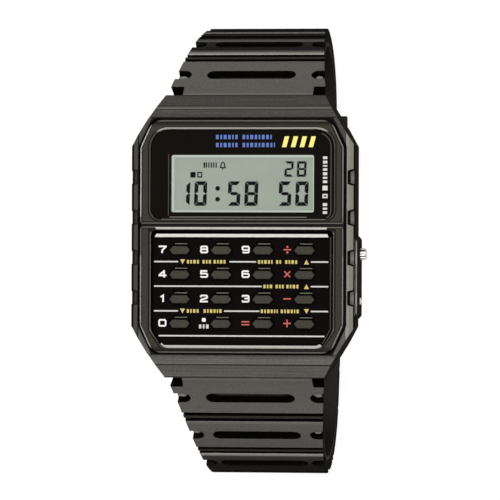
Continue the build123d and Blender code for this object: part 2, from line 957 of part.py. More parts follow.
# Spring bars
def make_spring_bar(name, end):
    """Spring bar across the hood at one end: a tube with a sprung tip at each end."""
    half_bar = neck_width / 2 + neck_clearance - bar_end_gap
    share = (case_length / 2 - bar_along) / (case_length / 2 - straight_length / 2)
    side = hood_end_width / 2 + share * (case_width - hood_end_width) / 2
    with BuildPart() as bar:
        with BuildSketch(Plane.YZ):
            with Locations((end * bar_along, bar_height)):
                Circle(bar_radius)
        extrude(amount=half_bar, both=True)
        with BuildSketch(Plane.YZ):
            with Locations((end * bar_along, bar_height)):
                Circle(bar_tip_radius)
        extrude(amount=side - bar_tip_recess, both=True)
        for face in (-half_bar + bar_collar_width, half_bar - 2 * bar_collar_width):
            with BuildSketch(Plane.YZ.offset(face)):
                with Locations((end * bar_along, bar_height)):
                    Circle(bar_radius)
                    Circle(bar_radius - bar_collar_depth, mode=Mode.SUBTRACT)
            extrude(amount=bar_collar_width, mode=Mode.SUBTRACT)
    finish_part(bar.part, name)


make_spring_bar("spring_bar_upper", 1)
make_spring_bar("spring_bar_lower", -1)


class Route:
    """Middle line of a strap half from its spring bar, as runs that each turn evenly."""

    def __init__(self, end, heading, runs):
        self.end, self.heading, self.runs = end, heading, runs
        self.length = sum(length for length, _ in runs)

    def walk(self, distance):
        """Place and heading after a distance, for the twelve o'clock side."""
        along, up, angle = bar_along, bar_height, radians(self.heading)
        left = distance
        for length, turn in self.runs:
            step = min(left, length)
            bend = radians(turn) * step / length
            chord = step if bend == 0 else 2 * step / bend * sin(bend / 2)
            along += chord * cos(angle + bend / 2)
            up += chord * sin(angle + bend / 2)
            angle += bend
            left -= step
        return along, up, angle

    def thickness(self, distance):
        """Thickness of the strap, which thins steadily down to its end thickness."""
        share = min(1, distance / strap_taper)
        return strap_start_thickness + share * (strap_end_thickness - strap_start_thickness)

    def point(self, distance, lift):
        """Point in the YZ plane at a distance, lifted off the middle line outwards."""
        along, up, angle = self.walk(distance)
        return self.end * (along - lift * sin(angle)), up + lift * cos(angle)

    def face(self, distance, side):
        """Point on the outer face, or on the inner one where side is -1."""
        return self.point(distance, side * self.thickness(distance) / 2)

    def plane(self, distance, lift=0):
        """Plane at a distance whose Z points out of the strap and whose X is along +X."""
        _, _, angle = self.walk(distance)
        outward = (0, -self.end * sin(angle), cos(angle))
        return Plane(origin=(0, *self.point(distance, lift)), x_dir=(1, 0, 0), z_dir=outward)

    def face_plane(self, distance):
        """Plane on the strap's outer face."""
        return self.plane(distance, self.thickness(distance) / 2)

    def section(self, start, stop):
        """Side view of the strap between two distances, with Y across and Z up."""
        stations, reached = [start], 0
        for length, _ in self.runs:
            reached += length
            if start < reached < stop:
                stations.append(reached)
        stations.append(stop)
        with BuildSketch(mode=Mode.PRIVATE) as side_view:
            with BuildLine():
                for side in (1, -1):
                    for low, high in zip(stations, stations[1:]):
                        first, last = self.face(low, side), self.face(high, side)
                        if self.walk(low)[2] == self.walk(high)[2]:
                            Line(first, last)
                        else:
                            ThreePointArc(first, self.face((low + high) / 2, side), last)
                Line(self.face(start, 1), self.face(start, -1))
                Line(self.face(stop, 1), self.face(stop, -1))
            make_face()
        return side_view.sketch


buckle_route = Route(
    1,
    buckle_heading,
    (
        (first_run, buckle_first_turn),
        (second_run, buckle_second_turn),
        (buckle_bend_radius * radians(-buckle_bend_turn), buckle_bend_turn),
        (buckle_straight, 0),
    ),
)
tail_route = Route(
    -1,
    tail_heading,
    (
        (first_run, tail_first_turn),
        (second_run, tail_second_turn),
        (tail_bend_radius * radians(-tail_bend_turn), tail_bend_turn),
        (tail_slope_run, 0),
        (tail_ease_run, tail_ease_turn),
        (tail_flat_run, 0),
        (tail_rise_run, tail_rise_turn),
        (tail_end_run, 0),
    ),
)


def strap_half_width(up):
    """Half the strap's width at a height, which narrows fast at first and then slowly."""
    share = min(1, max(0, (bar_height - up) / strap_end_drop))
    narrow = (strap_width - strap_end_width) / 2
    return strap_end_width / 2 + narrow * (1 - share) ** strap_narrowing


def strap_blank(route):
    """A strap half with its eye, neck and taper, before slots and grooves are cut."""
    top, foot = bar_height + eye_radius, bar_height - strap_end_drop - case_length
    levels = [bar_height - share * strap_end_drop for share in strap_level_shares]
    with BuildPart(mode=Mode.PRIVATE) as blank:
        with BuildSketch(Plane.YZ):
            add(route.section(neck_length, route.length))
        extrude(amount=strap_width, both=True)
        with BuildSketch(Plane.XZ):
            with BuildLine():
                for side in (1, -1):
                    edge = [(side * strap_half_width(up), up) for up in levels]
                    corner = (side * strap_width / 2, top)
                    low_corner = (side * strap_end_width / 2, foot)
                    Polyline((0, top), corner, *edge, low_corner, (0, foot))
            make_face()
        extrude(amount=2 * case_length, both=True, mode=Mode.INTERSECT)
        with BuildSketch(Plane.YZ):
            add(route.section(0, neck_length))
            with Locations(route.point(0, 0)):
                Circle(eye_radius)
        extrude(amount=neck_width / 2, both=True)
        with BuildSketch(Plane.YZ):
            with Locations(route.point(0, 0)):
                Circle(bar_radius + bar_clearance)
        extrude(amount=neck_width, both=True, mode=Mode.SUBTRACT)
    return blank.part


def cut_cells(blank, route, cells):
    """A strap half with slots, side notches with knobs, and ridged cross grooves cut."""
    groove = (boundary_width - boundary_ridge_width) / 2
    with BuildPart(mode=Mode.PRIVATE) as cut:
        add(blank)
        for cell in range(cells):
            middle = slot_first + cell * cell_pitch
            half = strap_half_width(route.point(middle, 0)[1])
            with BuildSketch(route.face_plane(middle)):
                SlotOverall(slot_length, slot_width)
                for side in (1, -1):
                    with Locations((side * half, 0)):
                        SlotOverall(2 * side_notch_reach, side_notch_width)
            extrude(amount=slot_depth, both=True, mode=Mode.SUBTRACT)
            with BuildSketch(route.plane(middle, route.thickness(middle) / 2 - slot_depth)):
                for side in (1, -1):
                    with Locations((side * (half - knob_inset), 0)):
                        Circle(knob_radius)
            extrude(amount=knob_height)
            edge = middle + cell_pitch / 2
            shift = (groove + boundary_ridge_width) / 2
            for place in (edge - shift, edge + shift):
                with BuildSketch(route.face_plane(place)):
                    Rectangle(2 * strap_width, groove)
                extrude(amount=boundary_depth, both=True, mode=Mode.SUBTRACT)
    return cut.part


# Strap half at twelve o'clock
buckle_end = buckle_route.length
with BuildPart() as strap_buckle_half:
    add(cut_cells(strap_blank(buckle_route), buckle_route, buckle_cells))
    with BuildSketch(Plane.YZ):
        with Locations(buckle_route.point(buckle_end, 0)):
            Circle(buckle_eye_radius)
    extrude(amount=strap_end_width / 2, both=True)
    with BuildSketch(Plane.YZ):
        with Locations(buckle_route.point(buckle_end, 0)):
            Circle(buckle_bar_radius + buckle_bar_clearance)
    extrude(amount=strap_width, both=True, mode=Mode.SUBTRACT)
    with BuildSketch(buckle_route.plane(buckle_end)):
        Rectangle(tongue_slot_width, tongue_slot_length)
    extrude(amount=overrun, both=True, mode=Mode.SUBTRACT)
finish_part(strap_buckle_half.part, "strap_buckle_half")


# Strap half at six o'clock, with a rounded tip
with BuildPart() as strap_tail_half:
    add(cut_cells(strap_blank(tail_route), tail_route, tail_cells))
    with BuildSketch(tail_route.plane(tail_route.length)):
        Rectangle(2 * strap_width, 2 * tail_tip_radius)
        with Locations((0, 2 * tail_tip_radius)):
            RectangleRounded(
                strap_end_width, 4 * tail_tip_radius, tail_tip_radius, mode=Mode.SUBTRACT
            )
    extrude(amount=strap_start_thickness, both=True, mode=Mode.SUBTRACT)
    for index in range(tail_hole_count):
        place = tail_hole_first + index * tail_hole_pitch
        with BuildSketch(tail_route.plane(place)):
            Circle(tail_hole_radius)
        extrude(amount=strap_start_thickness, both=True, mode=Mode.SUBTRACT)
        with BuildSketch(tail_route.face_plane(place + tail_hole_pitch / 2)):
            Rectangle(2 * strap_width, tail_groove_width)
        extrude(amount=tail_groove_depth, both=True, mode=Mode.SUBTRACT)
finish_part(strap_tail_half.part, "strap_tail_half")


def make_keeper(name, centre):
    """A band round the strap, with room for the tail outside the buckle half."""
    room = strap_end_thickness + 2 * keeper_face_gap + keeper_tail_room
    inner_width = strap_end_width + 2 * keeper_side_gap
    middle = buckle_route.plane(centre, room / 2 - keeper_face_gap - strap_end_thickness / 2)
    with BuildPart() as band:
        with BuildSketch(middle):
            Rectangle(inner_width + 2 * keeper_wall, keeper_length)
        extrude(amount=room / 2 + keeper_wall, both=True)
        fillet(band.edges(), keeper_edge)
        with BuildSketch(middle):
            Rectangle(inner_width, keeper_length)
        extrude(amount=room / 2, both=True, mode=Mode.SUBTRACT)
    finish_part(band.part, name)


make_keeper("keeper_fixed", buckle_end - fixed_keeper_from_end)
make_keeper("keeper_loose", buckle_end - loose_keeper_from_end)


# Buckle, laid out on the plane of its bar: X across, Y away from the strap, Z outwards
buckle_plane = buckle_route.plane(buckle_end)
buckle_side = Plane(
    origin=buckle_plane.origin, x_dir=buckle_plane.y_dir, z_dir=buckle_plane.x_dir
)
arm_inner = strap_end_width / 2 + buckle_arm_gap
arm_outer = arm_inner + buckle_arm_width
far_inner = buckle_frame_length - buckle_far_bar
frame_reach = buckle_eye_radius + buckle_frame_length

with BuildPart() as buckle_frame:
    with BuildSketch(buckle_plane):
        with Locations((0, buckle_frame_length - frame_reach / 2)):
            rim = Rectangle(2 * arm_outer, frame_reach)
        fillet(rim.vertices(), buckle_corner_radius)
        with Locations((0, far_inner - frame_reach / 2)):
            Rectangle(2 * arm_inner, frame_reach, mode=Mode.SUBTRACT)
    extrude(amount=buckle_arm_height / 2, both=True)
    flat = buckle_frame.faces().filter_by(buckle_plane)
    fillet(flat.edges(), buckle_edge)
    with BuildSketch(buckle_side):
        Circle(buckle_bar_radius + buckle_bar_clearance)
    extrude(amount=arm_outer, both=True, mode=Mode.SUBTRACT)
    with BuildSketch(buckle_plane.offset(buckle_arm_height / 2)):
        with Locations((0, buckle_frame_length)):
            Rectangle(tongue_width + 2 * tongue_gap, 2 * buckle_far_bar + overrun)
    extrude(amount=-buckle_notch_depth, mode=Mode.SUBTRACT)
finish_part(buckle_frame.part, "buckle_frame")

with BuildPart() as buckle_bar:
    with BuildSketch(buckle_side):
        Circle(buckle_bar_radius)
    extrude(amount=arm_outer - buckle_bar_recess, both=True)
finish_part(buckle_bar.part, "buckle_bar")

with BuildPart() as buckle_tongue:
    seat = buckle_arm_height / 2 - buckle_notch_depth + tongue_gap
    rise = tongue_eye_radius - tongue_thickness
    reach = buckle_frame_length + tongue_overhang
    with BuildSketch(buckle_side):
        with BuildLine():
            Polyline(
                (0, rise),
                (far_inner, seat),
                (reach, seat),
                (reach, seat + tongue_thickness),
                (far_inner, seat + tongue_thickness),
                (0, tongue_eye_radius),
                close=True,
            )
        make_face()
        Circle(tongue_eye_radius)
    extrude(amount=tongue_width / 2, both=True)
    with BuildSketch(buckle_side):
        Circle(buckle_bar_radius + buckle_bar_clearance)
    extrude(amount=tongue_width, both=True, mode=Mode.SUBTRACT)
finish_part(buckle_tongue.part, "buckle_tongue")
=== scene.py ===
"""Looks for the calculator watch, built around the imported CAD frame.

Every sub-assembly is a class that holds its own sizes in millimetres, builds the pieces that
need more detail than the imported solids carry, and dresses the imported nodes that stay. Every
piece rides on a body of the frame, so one script looks right at every pose.
"""

from __future__ import annotations

import logging
import math
from dataclasses import dataclass
from enum import Enum
from functools import reduce
from typing import Any, Iterable, Sequence

import bmesh
import bpy
from mathutils import Matrix, Vector

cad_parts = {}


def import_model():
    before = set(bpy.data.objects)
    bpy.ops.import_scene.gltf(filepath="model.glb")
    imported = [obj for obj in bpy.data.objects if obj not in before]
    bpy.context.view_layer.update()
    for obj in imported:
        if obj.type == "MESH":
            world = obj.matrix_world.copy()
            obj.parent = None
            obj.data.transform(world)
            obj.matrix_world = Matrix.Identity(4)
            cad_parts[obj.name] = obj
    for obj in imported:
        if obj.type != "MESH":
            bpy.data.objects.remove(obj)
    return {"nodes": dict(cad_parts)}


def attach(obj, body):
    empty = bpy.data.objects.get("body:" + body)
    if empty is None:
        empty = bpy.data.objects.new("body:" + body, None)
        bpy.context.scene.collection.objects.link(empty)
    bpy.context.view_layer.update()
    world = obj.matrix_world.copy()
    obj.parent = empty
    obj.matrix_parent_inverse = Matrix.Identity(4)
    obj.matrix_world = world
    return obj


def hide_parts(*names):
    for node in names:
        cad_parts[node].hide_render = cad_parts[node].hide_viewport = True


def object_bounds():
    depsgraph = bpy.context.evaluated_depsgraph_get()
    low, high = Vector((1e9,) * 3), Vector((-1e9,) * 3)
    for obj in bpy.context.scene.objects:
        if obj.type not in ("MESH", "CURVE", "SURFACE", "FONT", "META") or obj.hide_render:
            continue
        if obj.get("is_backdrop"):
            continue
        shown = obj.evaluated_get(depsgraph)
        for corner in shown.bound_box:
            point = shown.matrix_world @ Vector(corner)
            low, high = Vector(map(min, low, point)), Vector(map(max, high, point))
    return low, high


log = logging.getLogger("watch")

MM = 0.001
Point = tuple[float, float]
Outline = list[Point]
Corner = tuple[float, float, float]
Levels = tuple[tuple[float, float], ...]
# The left, right, low and high side of a rectangle, then the radius of its corners.
Box = tuple[float, ...]
# Where a soft line's middle lies and half of its width.
Line = tuple[float, float]
# Where a soft step stands and how wide it is.
Step = tuple[float, float]
Socket = bpy.types.NodeSocket
Material = bpy.types.Material
Nodes = dict[str, bpy.types.Object]
Ring = list[bmesh.types.BMVert]


class Body(Enum):
    """Bodies of the frame that new pieces ride on, apart from the keys."""

    CASE = "watch_case"
    MODE = "mode_button"
    ADJUST = "adjust_button"
    BUCKLE_HALF = "buckle_half"
    TAIL_HALF = "tail_half"


class KeyName(Enum):
    """The sixteen keys by what they do; each value names a node and its body."""

    SEVEN = "key_7"
    EIGHT = "key_8"
    NINE = "key_9"
    DIVIDE = "key_divide"
    FOUR = "key_4"
    FIVE = "key_5"
    SIX = "key_6"
    MULTIPLY = "key_multiply"
    ONE = "key_1"
    TWO = "key_2"
    THREE = "key_3"
    MINUS = "key_minus"
    ZERO = "key_0"
    POINT = "key_point"
    EQUALS = "key_equals"
    PLUS = "key_plus"


class Slot(Enum):
    """Material slots of the record that new pieces take their finish from."""

    FRAME = "frame_resin"
    STRAP = "strap_resin"
    PANEL = "panel_black"
    KEYS = "key_resin"
    GLASS = "window_glass"
    DISPLAY = "display"
    CHROME = "chrome"


@dataclass(frozen=True)
class Tone:
    """A colour as it is seen on a screen, each channel from 0 to 255."""

    red: float
    green: float
    blue: float

    def linear(self) -> tuple[float, float, float, float]:
        """The colour as Blender's sockets take it."""
        return (*(self._channel(c / 255) for c in (self.red, self.green, self.blue)), 1.0)

    def scaled(self, share: float) -> Tone:
        """The colour with every channel taken to a share."""
        return Tone(self.red * share, self.green * share, self.blue * share)

    @staticmethod
    def _channel(value: float) -> float:
        """One channel from screen to light."""
        return value / 12.92 if value <= 0.04045 else ((value + 0.055) / 1.055) ** 2.4


class Value:
    """A shader socket that takes part in Python sums."""

    def __init__(self, graph: Graph, socket: Socket) -> None:
        """Wraps one output socket of a graph."""
        self.graph = graph
        self.socket = socket

    def _math(self, operation: str, first: Any, second: Any = 0.0) -> Value:
        """What one Math node makes of two Values or numbers."""
        node = self.graph.node("ShaderNodeMath", {"operation": operation}, {0: first, 1: second})
        return Value(self.graph, node.outputs[0])

    def __add__(self, other: Any) -> Value:
        """self + other."""
        return self._math("ADD", self, other)

    __radd__ = __add__

    def __sub__(self, other: Any) -> Value:
        """self - other."""
        return self._math("SUBTRACT", self, other)

    def __rsub__(self, other: Any) -> Value:
        """other - self."""
        return self._math("SUBTRACT", other, self)

    def __mul__(self, other: Any) -> Value:
        """self * other."""
        return self._math("MULTIPLY", self, other)

    __rmul__ = __mul__

    def __truediv__(self, other: Any) -> Value:
        """self / other."""
        return self._math("DIVIDE", self, other)

    def __pow__(self, other: Any) -> Value:
        """self ** other."""
        return self._math("POWER", self, other)

    def above(self, level: float, width: float) -> Value:
        """A soft step from 0 to 1.

        Args:
            level: where the step stands.
            width: how wide the step is.

        Returns:
            The step, held between 0 and 1.
        """
        node = self.graph.node(
            "ShaderNodeMapRange",
            {"clamp": True},
            {0: self, 1: level - width / 2, 2: level + width / 2, 3: 0.0, 4: 1.0},
        )
        return Value(self.graph, node.outputs[0])

    def near(self, level: float, half: Any, soft: float = 0.08) -> Value:
        """1 on a soft line round a level and 0 off it, from half of its width."""
        return 1 - ((self - level).size() - half).above(0.0, soft)

    def size(self) -> Value:
        """The value without its sign."""
        return self._math("ABSOLUTE", self)

    def least(self, *others: Any) -> Value:
        """The smallest of this value and others."""
        return reduce(lambda first, second: self._math("MINIMUM", first, second), others, self)

    def most(self, *others: Any) -> Value:
        """The largest of this value and others."""
        return reduce(lambda first, second: self._math("MAXIMUM", first, second), others, self)

    def from_nearest(self, first: float, pitch: float) -> Value:
        """Distance from the nearest of a row of places, from the first one and their pitch."""
        return self._math("PINGPONG", self - first, pitch / 2)


class Graph:
    """The node tree of one material, or of the world.

    Bevels and the look for open air take as many rays as their samples say. A surface counts as
    an edge where its rounded normal turns from its plain one by edge_turn, softly by edge_soft.
    """

    bevel_samples: int = 6
    air_samples: int = 8
    noise_roughness: float = 0.55
    edge_turn: float = 0.035
    edge_soft: float = 0.05

    def __init__(self, name: str, world: bool = False) -> None:
        """Starts a tree that holds its output and one shader.

        Args:
            name: name of the material or the world.
            world: whether the tree is a world's.
        """
        self.owner = (bpy.data.worlds if world else bpy.data.materials).new(name)
        self.owner.use_nodes = True
        self.tree = self.owner.node_tree
        self.tree.nodes.clear()
        self.output = self.node("ShaderNodeOutputWorld" if world else "ShaderNodeOutputMaterial")
        self.shader = self.node("ShaderNodeBackground" if world else "ShaderNodeBsdfPrincipled")
        self.feed(self.output.inputs["Surface"], self.shader.outputs[0])

    def node(
        self,
        kind: str,
        settings: dict[str, Any] | None = None,
        values: dict[int | str, Any] | None = None,
    ) -> bpy.types.Node:
        """Adds a node.

        Args:
            kind: the node's type.
            settings: its properties, set before its sockets.
            values: a number, colour, Value or socket for each input, by name or index.

        Returns:
            The node.
        """
        node = self.tree.nodes.new(kind)
        for key, value in (settings or {}).items():
            if key == "stops":
                self._stops(node, value)
            else:
                setattr(node, key, value)
        for key, value in (values or {}).items():
            self.feed(node.inputs[key], value)
        return node

    def _stops(self, node: bpy.types.Node, stops: Sequence[tuple[float, Tone]]) -> None:
        """Sets a colour ramp's stops.

        Args:
            node: the ramp.
            stops: place and colour of each stop.
        """
        elements = node.color_ramp.elements
        while len(elements) > 1:
            elements.remove(elements[-1])
        for index, (place, tone) in enumerate(stops):
            element = elements[0] if index == 0 else elements.new(place)
            element.position = place
            element.color = tone.linear()

    def feed(self, target: Socket, value: Any) -> None:
        """Links or sets one input socket.

        Args:
            target: the input socket.
            value: a Value, an output socket, a Tone, or plain numbers.
        """
        if isinstance(value, Value):
            self.tree.links.new(value.socket, target)
        elif isinstance(value, Socket):
            self.tree.links.new(value, target)
        elif isinstance(value, Tone):
            target.default_value = value.linear()
        else:
            target.default_value = value

    def scaled(self, vector: Any, share: Any) -> Socket:
        """A vector or colour with every part of it multiplied.

        Args:
            vector: the vector or colour.
            share: a Value or a number.

        Returns:
            The vector's or colour's socket.
        """
        node = self.node("ShaderNodeVectorMath", {"operation": "SCALE"}, {0: vector})
        self.feed(node.inputs["Scale"], share)
        return node.outputs[0]

    def split(self, vector: Socket) -> tuple[Value, ...]:
        """X, Y and Z of a vector."""
        node = self.node("ShaderNodeSeparateXYZ", values={0: vector})
        return tuple(Value(self, output) for output in node.outputs)

    def place(self) -> Socket:
        """The point on the piece, in millimetres."""
        return self.scaled(self.node("ShaderNodeTexCoord").outputs["Object"], 1 / MM)

    def axes(self) -> tuple[Value, ...]:
        """X, Y and Z of the point on the piece, in millimetres."""
        return self.split(self.place())

    def facing(self) -> tuple[Value, ...]:
        """X, Y and Z of the piece's own normal."""
        return self.split(self.node("ShaderNodeTexCoord").outputs["Normal"])

    def noise(self, size: float, detail: float, stretch: Sequence[float] = (1, 1, 1)) -> Value:
        """Fractal noise over the piece.

        Args:
            size: the size of its grains, in millimetres.
            detail: how many finer layers it has.
            stretch: how many times longer a grain is along each axis.

        Returns:
            The noise, from about 0.25 to 0.75.
        """
        grain = tuple(1 / (size * times) for times in stretch)
        operation = {"operation": "MULTIPLY"}
        grained = self.node("ShaderNodeVectorMath", operation, {0: self.place(), 1: grain})
        values = {
            "Vector": grained.outputs[0],
            "Scale": 1.0,
            "Detail": detail,
            "Roughness": self.noise_roughness,
        }
        node = self.node("ShaderNodeTexNoise", {"noise_dimensions": "3D"}, values)
        return Value(self, node.outputs[0])

    def blend(self, share: Any, first: Any, second: Any) -> Socket:
        """A colour between two Tones or sockets; share is how far towards the second."""
        settings = {"data_type": "RGBA", "clamp_factor": True}
        return self.node("ShaderNodeMix", settings, {0: share, 6: first, 7: second}).outputs[2]

    def mix_shaders(self, share: Any, first: bpy.types.Node, second: bpy.types.Node) -> None:
        """Feeds the output with a mix of two shaders.

        Args:
            share: how far towards the second, from 0 to 1.
            first: a shader node.
            second: a shader node.
        """
        values = {0: share, 1: first.outputs[0], 2: second.outputs[0]}
        mixed = self.node("ShaderNodeMixShader", values=values)
        self.feed(self.output.inputs["Surface"], mixed.outputs[0])

    def bump(self, height: Value, depth: float, radius: float = 0.0) -> Socket:
        """A normal from a height that runs from 0 to 1.

        Args:
            height: the height.
            depth: how deep it is, in millimetres.
            radius: how far the piece's edges are softened, in millimetres.

        Returns:
            The normal socket.
        """
        values = {"Strength": 1.0, "Distance": depth * MM, "Height": height}
        node = self.node("ShaderNodeBump", values=values)
        if radius > 0:
            self.feed(node.inputs["Normal"], self.softened(radius))
        return node.outputs[0]

    def softened(self, radius: float) -> Socket:
        """The piece's normal with its edges rounded by a radius in millimetres."""
        settings = {"samples": self.bevel_samples}
        return self.node("ShaderNodeBevel", settings, {"Radius": radius * MM}).outputs[0]

    def edges(self, radius: float) -> Value:
        """Where the piece has an edge.

        Args:
            radius: how far from the edge it reaches, in millimetres.

        Returns:
            1 at an edge and 0 away from it.
        """
        plain = self.node("ShaderNodeNewGeometry").outputs["Normal"]
        operation = {"operation": "DOT_PRODUCT"}
        meet = self.node("ShaderNodeVectorMath", operation, {0: self.softened(radius), 1: plain})
        return (1 - Value(self, meet.outputs["Value"])).above(self.edge_turn, self.edge_soft)

    def open_air(self, reach: float) -> Value:
        """How open the surface is.

        Args:
            reach: how far off something still closes it in, in millimetres.

        Returns:
            1 in the open, less in a corner, groove or pocket.
        """
        settings = {"samples": self.air_samples}
        node = self.node("ShaderNodeAmbientOcclusion", settings, {"Distance": reach * MM})
        return Value(self, node.outputs["AO"])

    def seen(self) -> Value:
        """1 for what is seen straight, in a mirror or through glass, and 0 for plain light."""
        path = self.node("ShaderNodeLightPath")
        rays = (path.outputs[f"Is {ray} Ray"] for ray in ("Camera", "Glossy", "Transmission"))
        straight, *others = (Value(self, ray) for ray in rays)
        return straight.most(*others)

    def levels(self, value: Value, stops: Sequence[tuple[float, Tone]]) -> Socket:
        """A colour that follows a value.

        Args:
            value: the value.
            stops: the colour at each of some rising values.

        Returns:
            The colour socket.
        """
        low, high = stops[0][0], stops[-1][0]
        share = (value - low) / (high - low)
        placed = [((level - low) / (high - low), tone) for level, tone in stops]
        return self.node("ShaderNodeValToRGB", {"stops": placed}, {0: share}).outputs[0]

    def dress(self, **values: Any) -> Material:
        """Sets the shader's sockets and hands over the material.

        Args:
            values: what each socket gets, by the socket's name with underscores.

        Returns:
            The material.
        """
        for key, value in values.items():
            name = key.replace("_", " ").title().replace("Ior", "IOR")
            self.feed(self.shader.inputs[name], value)
        return self.owner


@dataclass(frozen=True)
class Surface:
    """How a resin takes the light, whatever its colour.

    rough is its least roughness and uneven what the grain adds to it. depth is how deep its
    relief is, and edge how far its edges are rounded, both in millimetres. Where it faces up
    more than shine_from it has a thin shine with a roughness of its own.
    """

    rough: float
    uneven: float = 0.16
    depth: float = 0.012
    edge: float = 0.0
    shine_from: float = 0.85
    shine_soft: float = 0.3
    shine: float = 0.12
    shine_rough: float = 0.42

    def dress(
        self, graph: Graph, colour: Any, grain: Value, relief: Value | None = None
    ) -> Material:
        """Dresses a graph's shader.

        Args:
            graph: the material's graph.
            colour: its colour.
            grain: its grain.
            relief: what stands out on it, where that is more than the grain.

        Returns:
            The material.
        """
        _, _, rise = graph.facing()
        height = grain if relief is None else relief
        return graph.dress(
            base_color=colour,
            roughness=grain * self.uneven + self.rough,
            normal=graph.bump(height, self.depth, self.edge),
            specular_ior_level=0.0,
            coat_weight=rise.above(self.shine_from, self.shine_soft) * self.shine,
            coat_roughness=self.shine_rough,
        )


@dataclass(frozen=True)
class Resin:
    """Plain moulded resin with a fine spark-eroded grain, with a painted highlight on its edges.

    tone is its colour, rough its roughness, grain the size of its grain in millimetres, depth
    how deep the grain is, edge how wide its paler edges are, wear how much paler the painted
    highlight on them is, deep how far off the sides of a pocket still paint shade into it, side
    the share of the colour that is left on its flanks as painted shade, and gloss how much it
    shines where it faces up. The last five say how its colour changes with the grain, with its
    clouds, each some grains wide, and in a pocket, where shade is painted.
    """

    name: str
    tone: Tone
    rough: float = 0.5
    grain: float = 0.16
    depth: float = 0.012
    edge: float = 0.14
    edge_highlight: float = 1.5
    deep: float = 1.2
    side: float = 1.0
    gloss: float = 0.3
    low_share: float = 0.8
    high_share: float = 1.18
    pocket_shade_share: float = 0.08
    cloud_grains: float = 22.0
    cloud_share: float = 0.5

    def material(self) -> Material:
        """Builds the resin."""
        graph = Graph(self.name)
        low, high = self.tone.scaled(self.low_share), self.tone.scaled(self.high_share)
        fine = graph.noise(self.grain, 3.0)
        broad = graph.noise(self.grain * self.cloud_grains, 2.0)
        base = graph.blend(fine.above(0.5, 0.35), low, high)
        base = graph.blend(broad.above(0.5, 0.5) * self.cloud_share, base, self.tone)
        air = graph.open_air(self.deep)
        # Painted highlight: the edges are painted paler.
        if self.edge_highlight > 1:
            highlit_edge = graph.edges(self.edge) * air.above(0.7, 0.2) * (0.45 + fine * 0.6)
            base = graph.blend(highlit_edge, base, self.tone.scaled(self.edge_highlight))
        # Painted shade: flanks that face sideways are darkened.
        if self.side < 1:
            flank, _, _ = graph.facing()
            base = graph.blend(flank.size().above(0.8, 0.2), base, self.tone.scaled(self.side))
        # Painted shade: pockets, corners and grooves are darkened.
        base = graph.blend(air.above(0.83, 0.3), self.tone.scaled(self.pocket_shade_share), base)
        surface = Surface(
            self.rough - 0.08,
            depth=self.depth,
            edge=self.edge,
            shine=self.gloss,
            shine_rough=self.rough,
        )
        return surface.dress(graph, base, fine)


@dataclass(frozen=True)
class FrameSize:
    """Sizes of the front frame, which its shape, its finish and the case's finish share."""

    half_width: float = 15.56
    half_length: float = 17.65
    corner_across: float = 1.9
    corner_along: float = 4.1
    left_proud: float = 0.1
    foot_proud: float = 0.12
    groove_middle: float = 1.66
    groove: float = 0.39
    window_half: float = 14.1
    window_low: float = 2.54
    window_high: float = 16.26
    window_foot_corner: float = 1.5
    window_head_corner: float = 2.7
    pad_half: float = 14.0
    pad_head: float = 0.78
    pad_foot: float = -17.08

    def past_corner(self, side: Value, far: Value, wider: float = 0.0) -> Value:
        """How far a point lies past the frame's slanted corners.

        Args:
            side: the point's distance from the middle along X.
            far: its distance from the middle along Y.
            wider: how much wider the frame is taken to be on each side.

        Returns:
            The distance, less than 0 inside the corners.
        """
        slant = math.hypot(self.corner_across, self.corner_along)
        x, y = self.corner_along / slant, self.corner_across / slant
        at_corner = (self.half_width + wider) * x + (self.half_length - self.corner_along) * y
        return side * x + far * y - at_corner


@dataclass(frozen=True)
class RidgeLine:
    """A painted line along the ridge of a hood: a highlight where its tone is pale, shade where
    dark.

    offset is how far past the ridge it lies, half is half of its width, at_head and at_foot are
    how strong it is on each hood, and tone is its colour.
    """

    offset: float
    half: float
    at_head: float
    at_foot: float
    tone: Tone


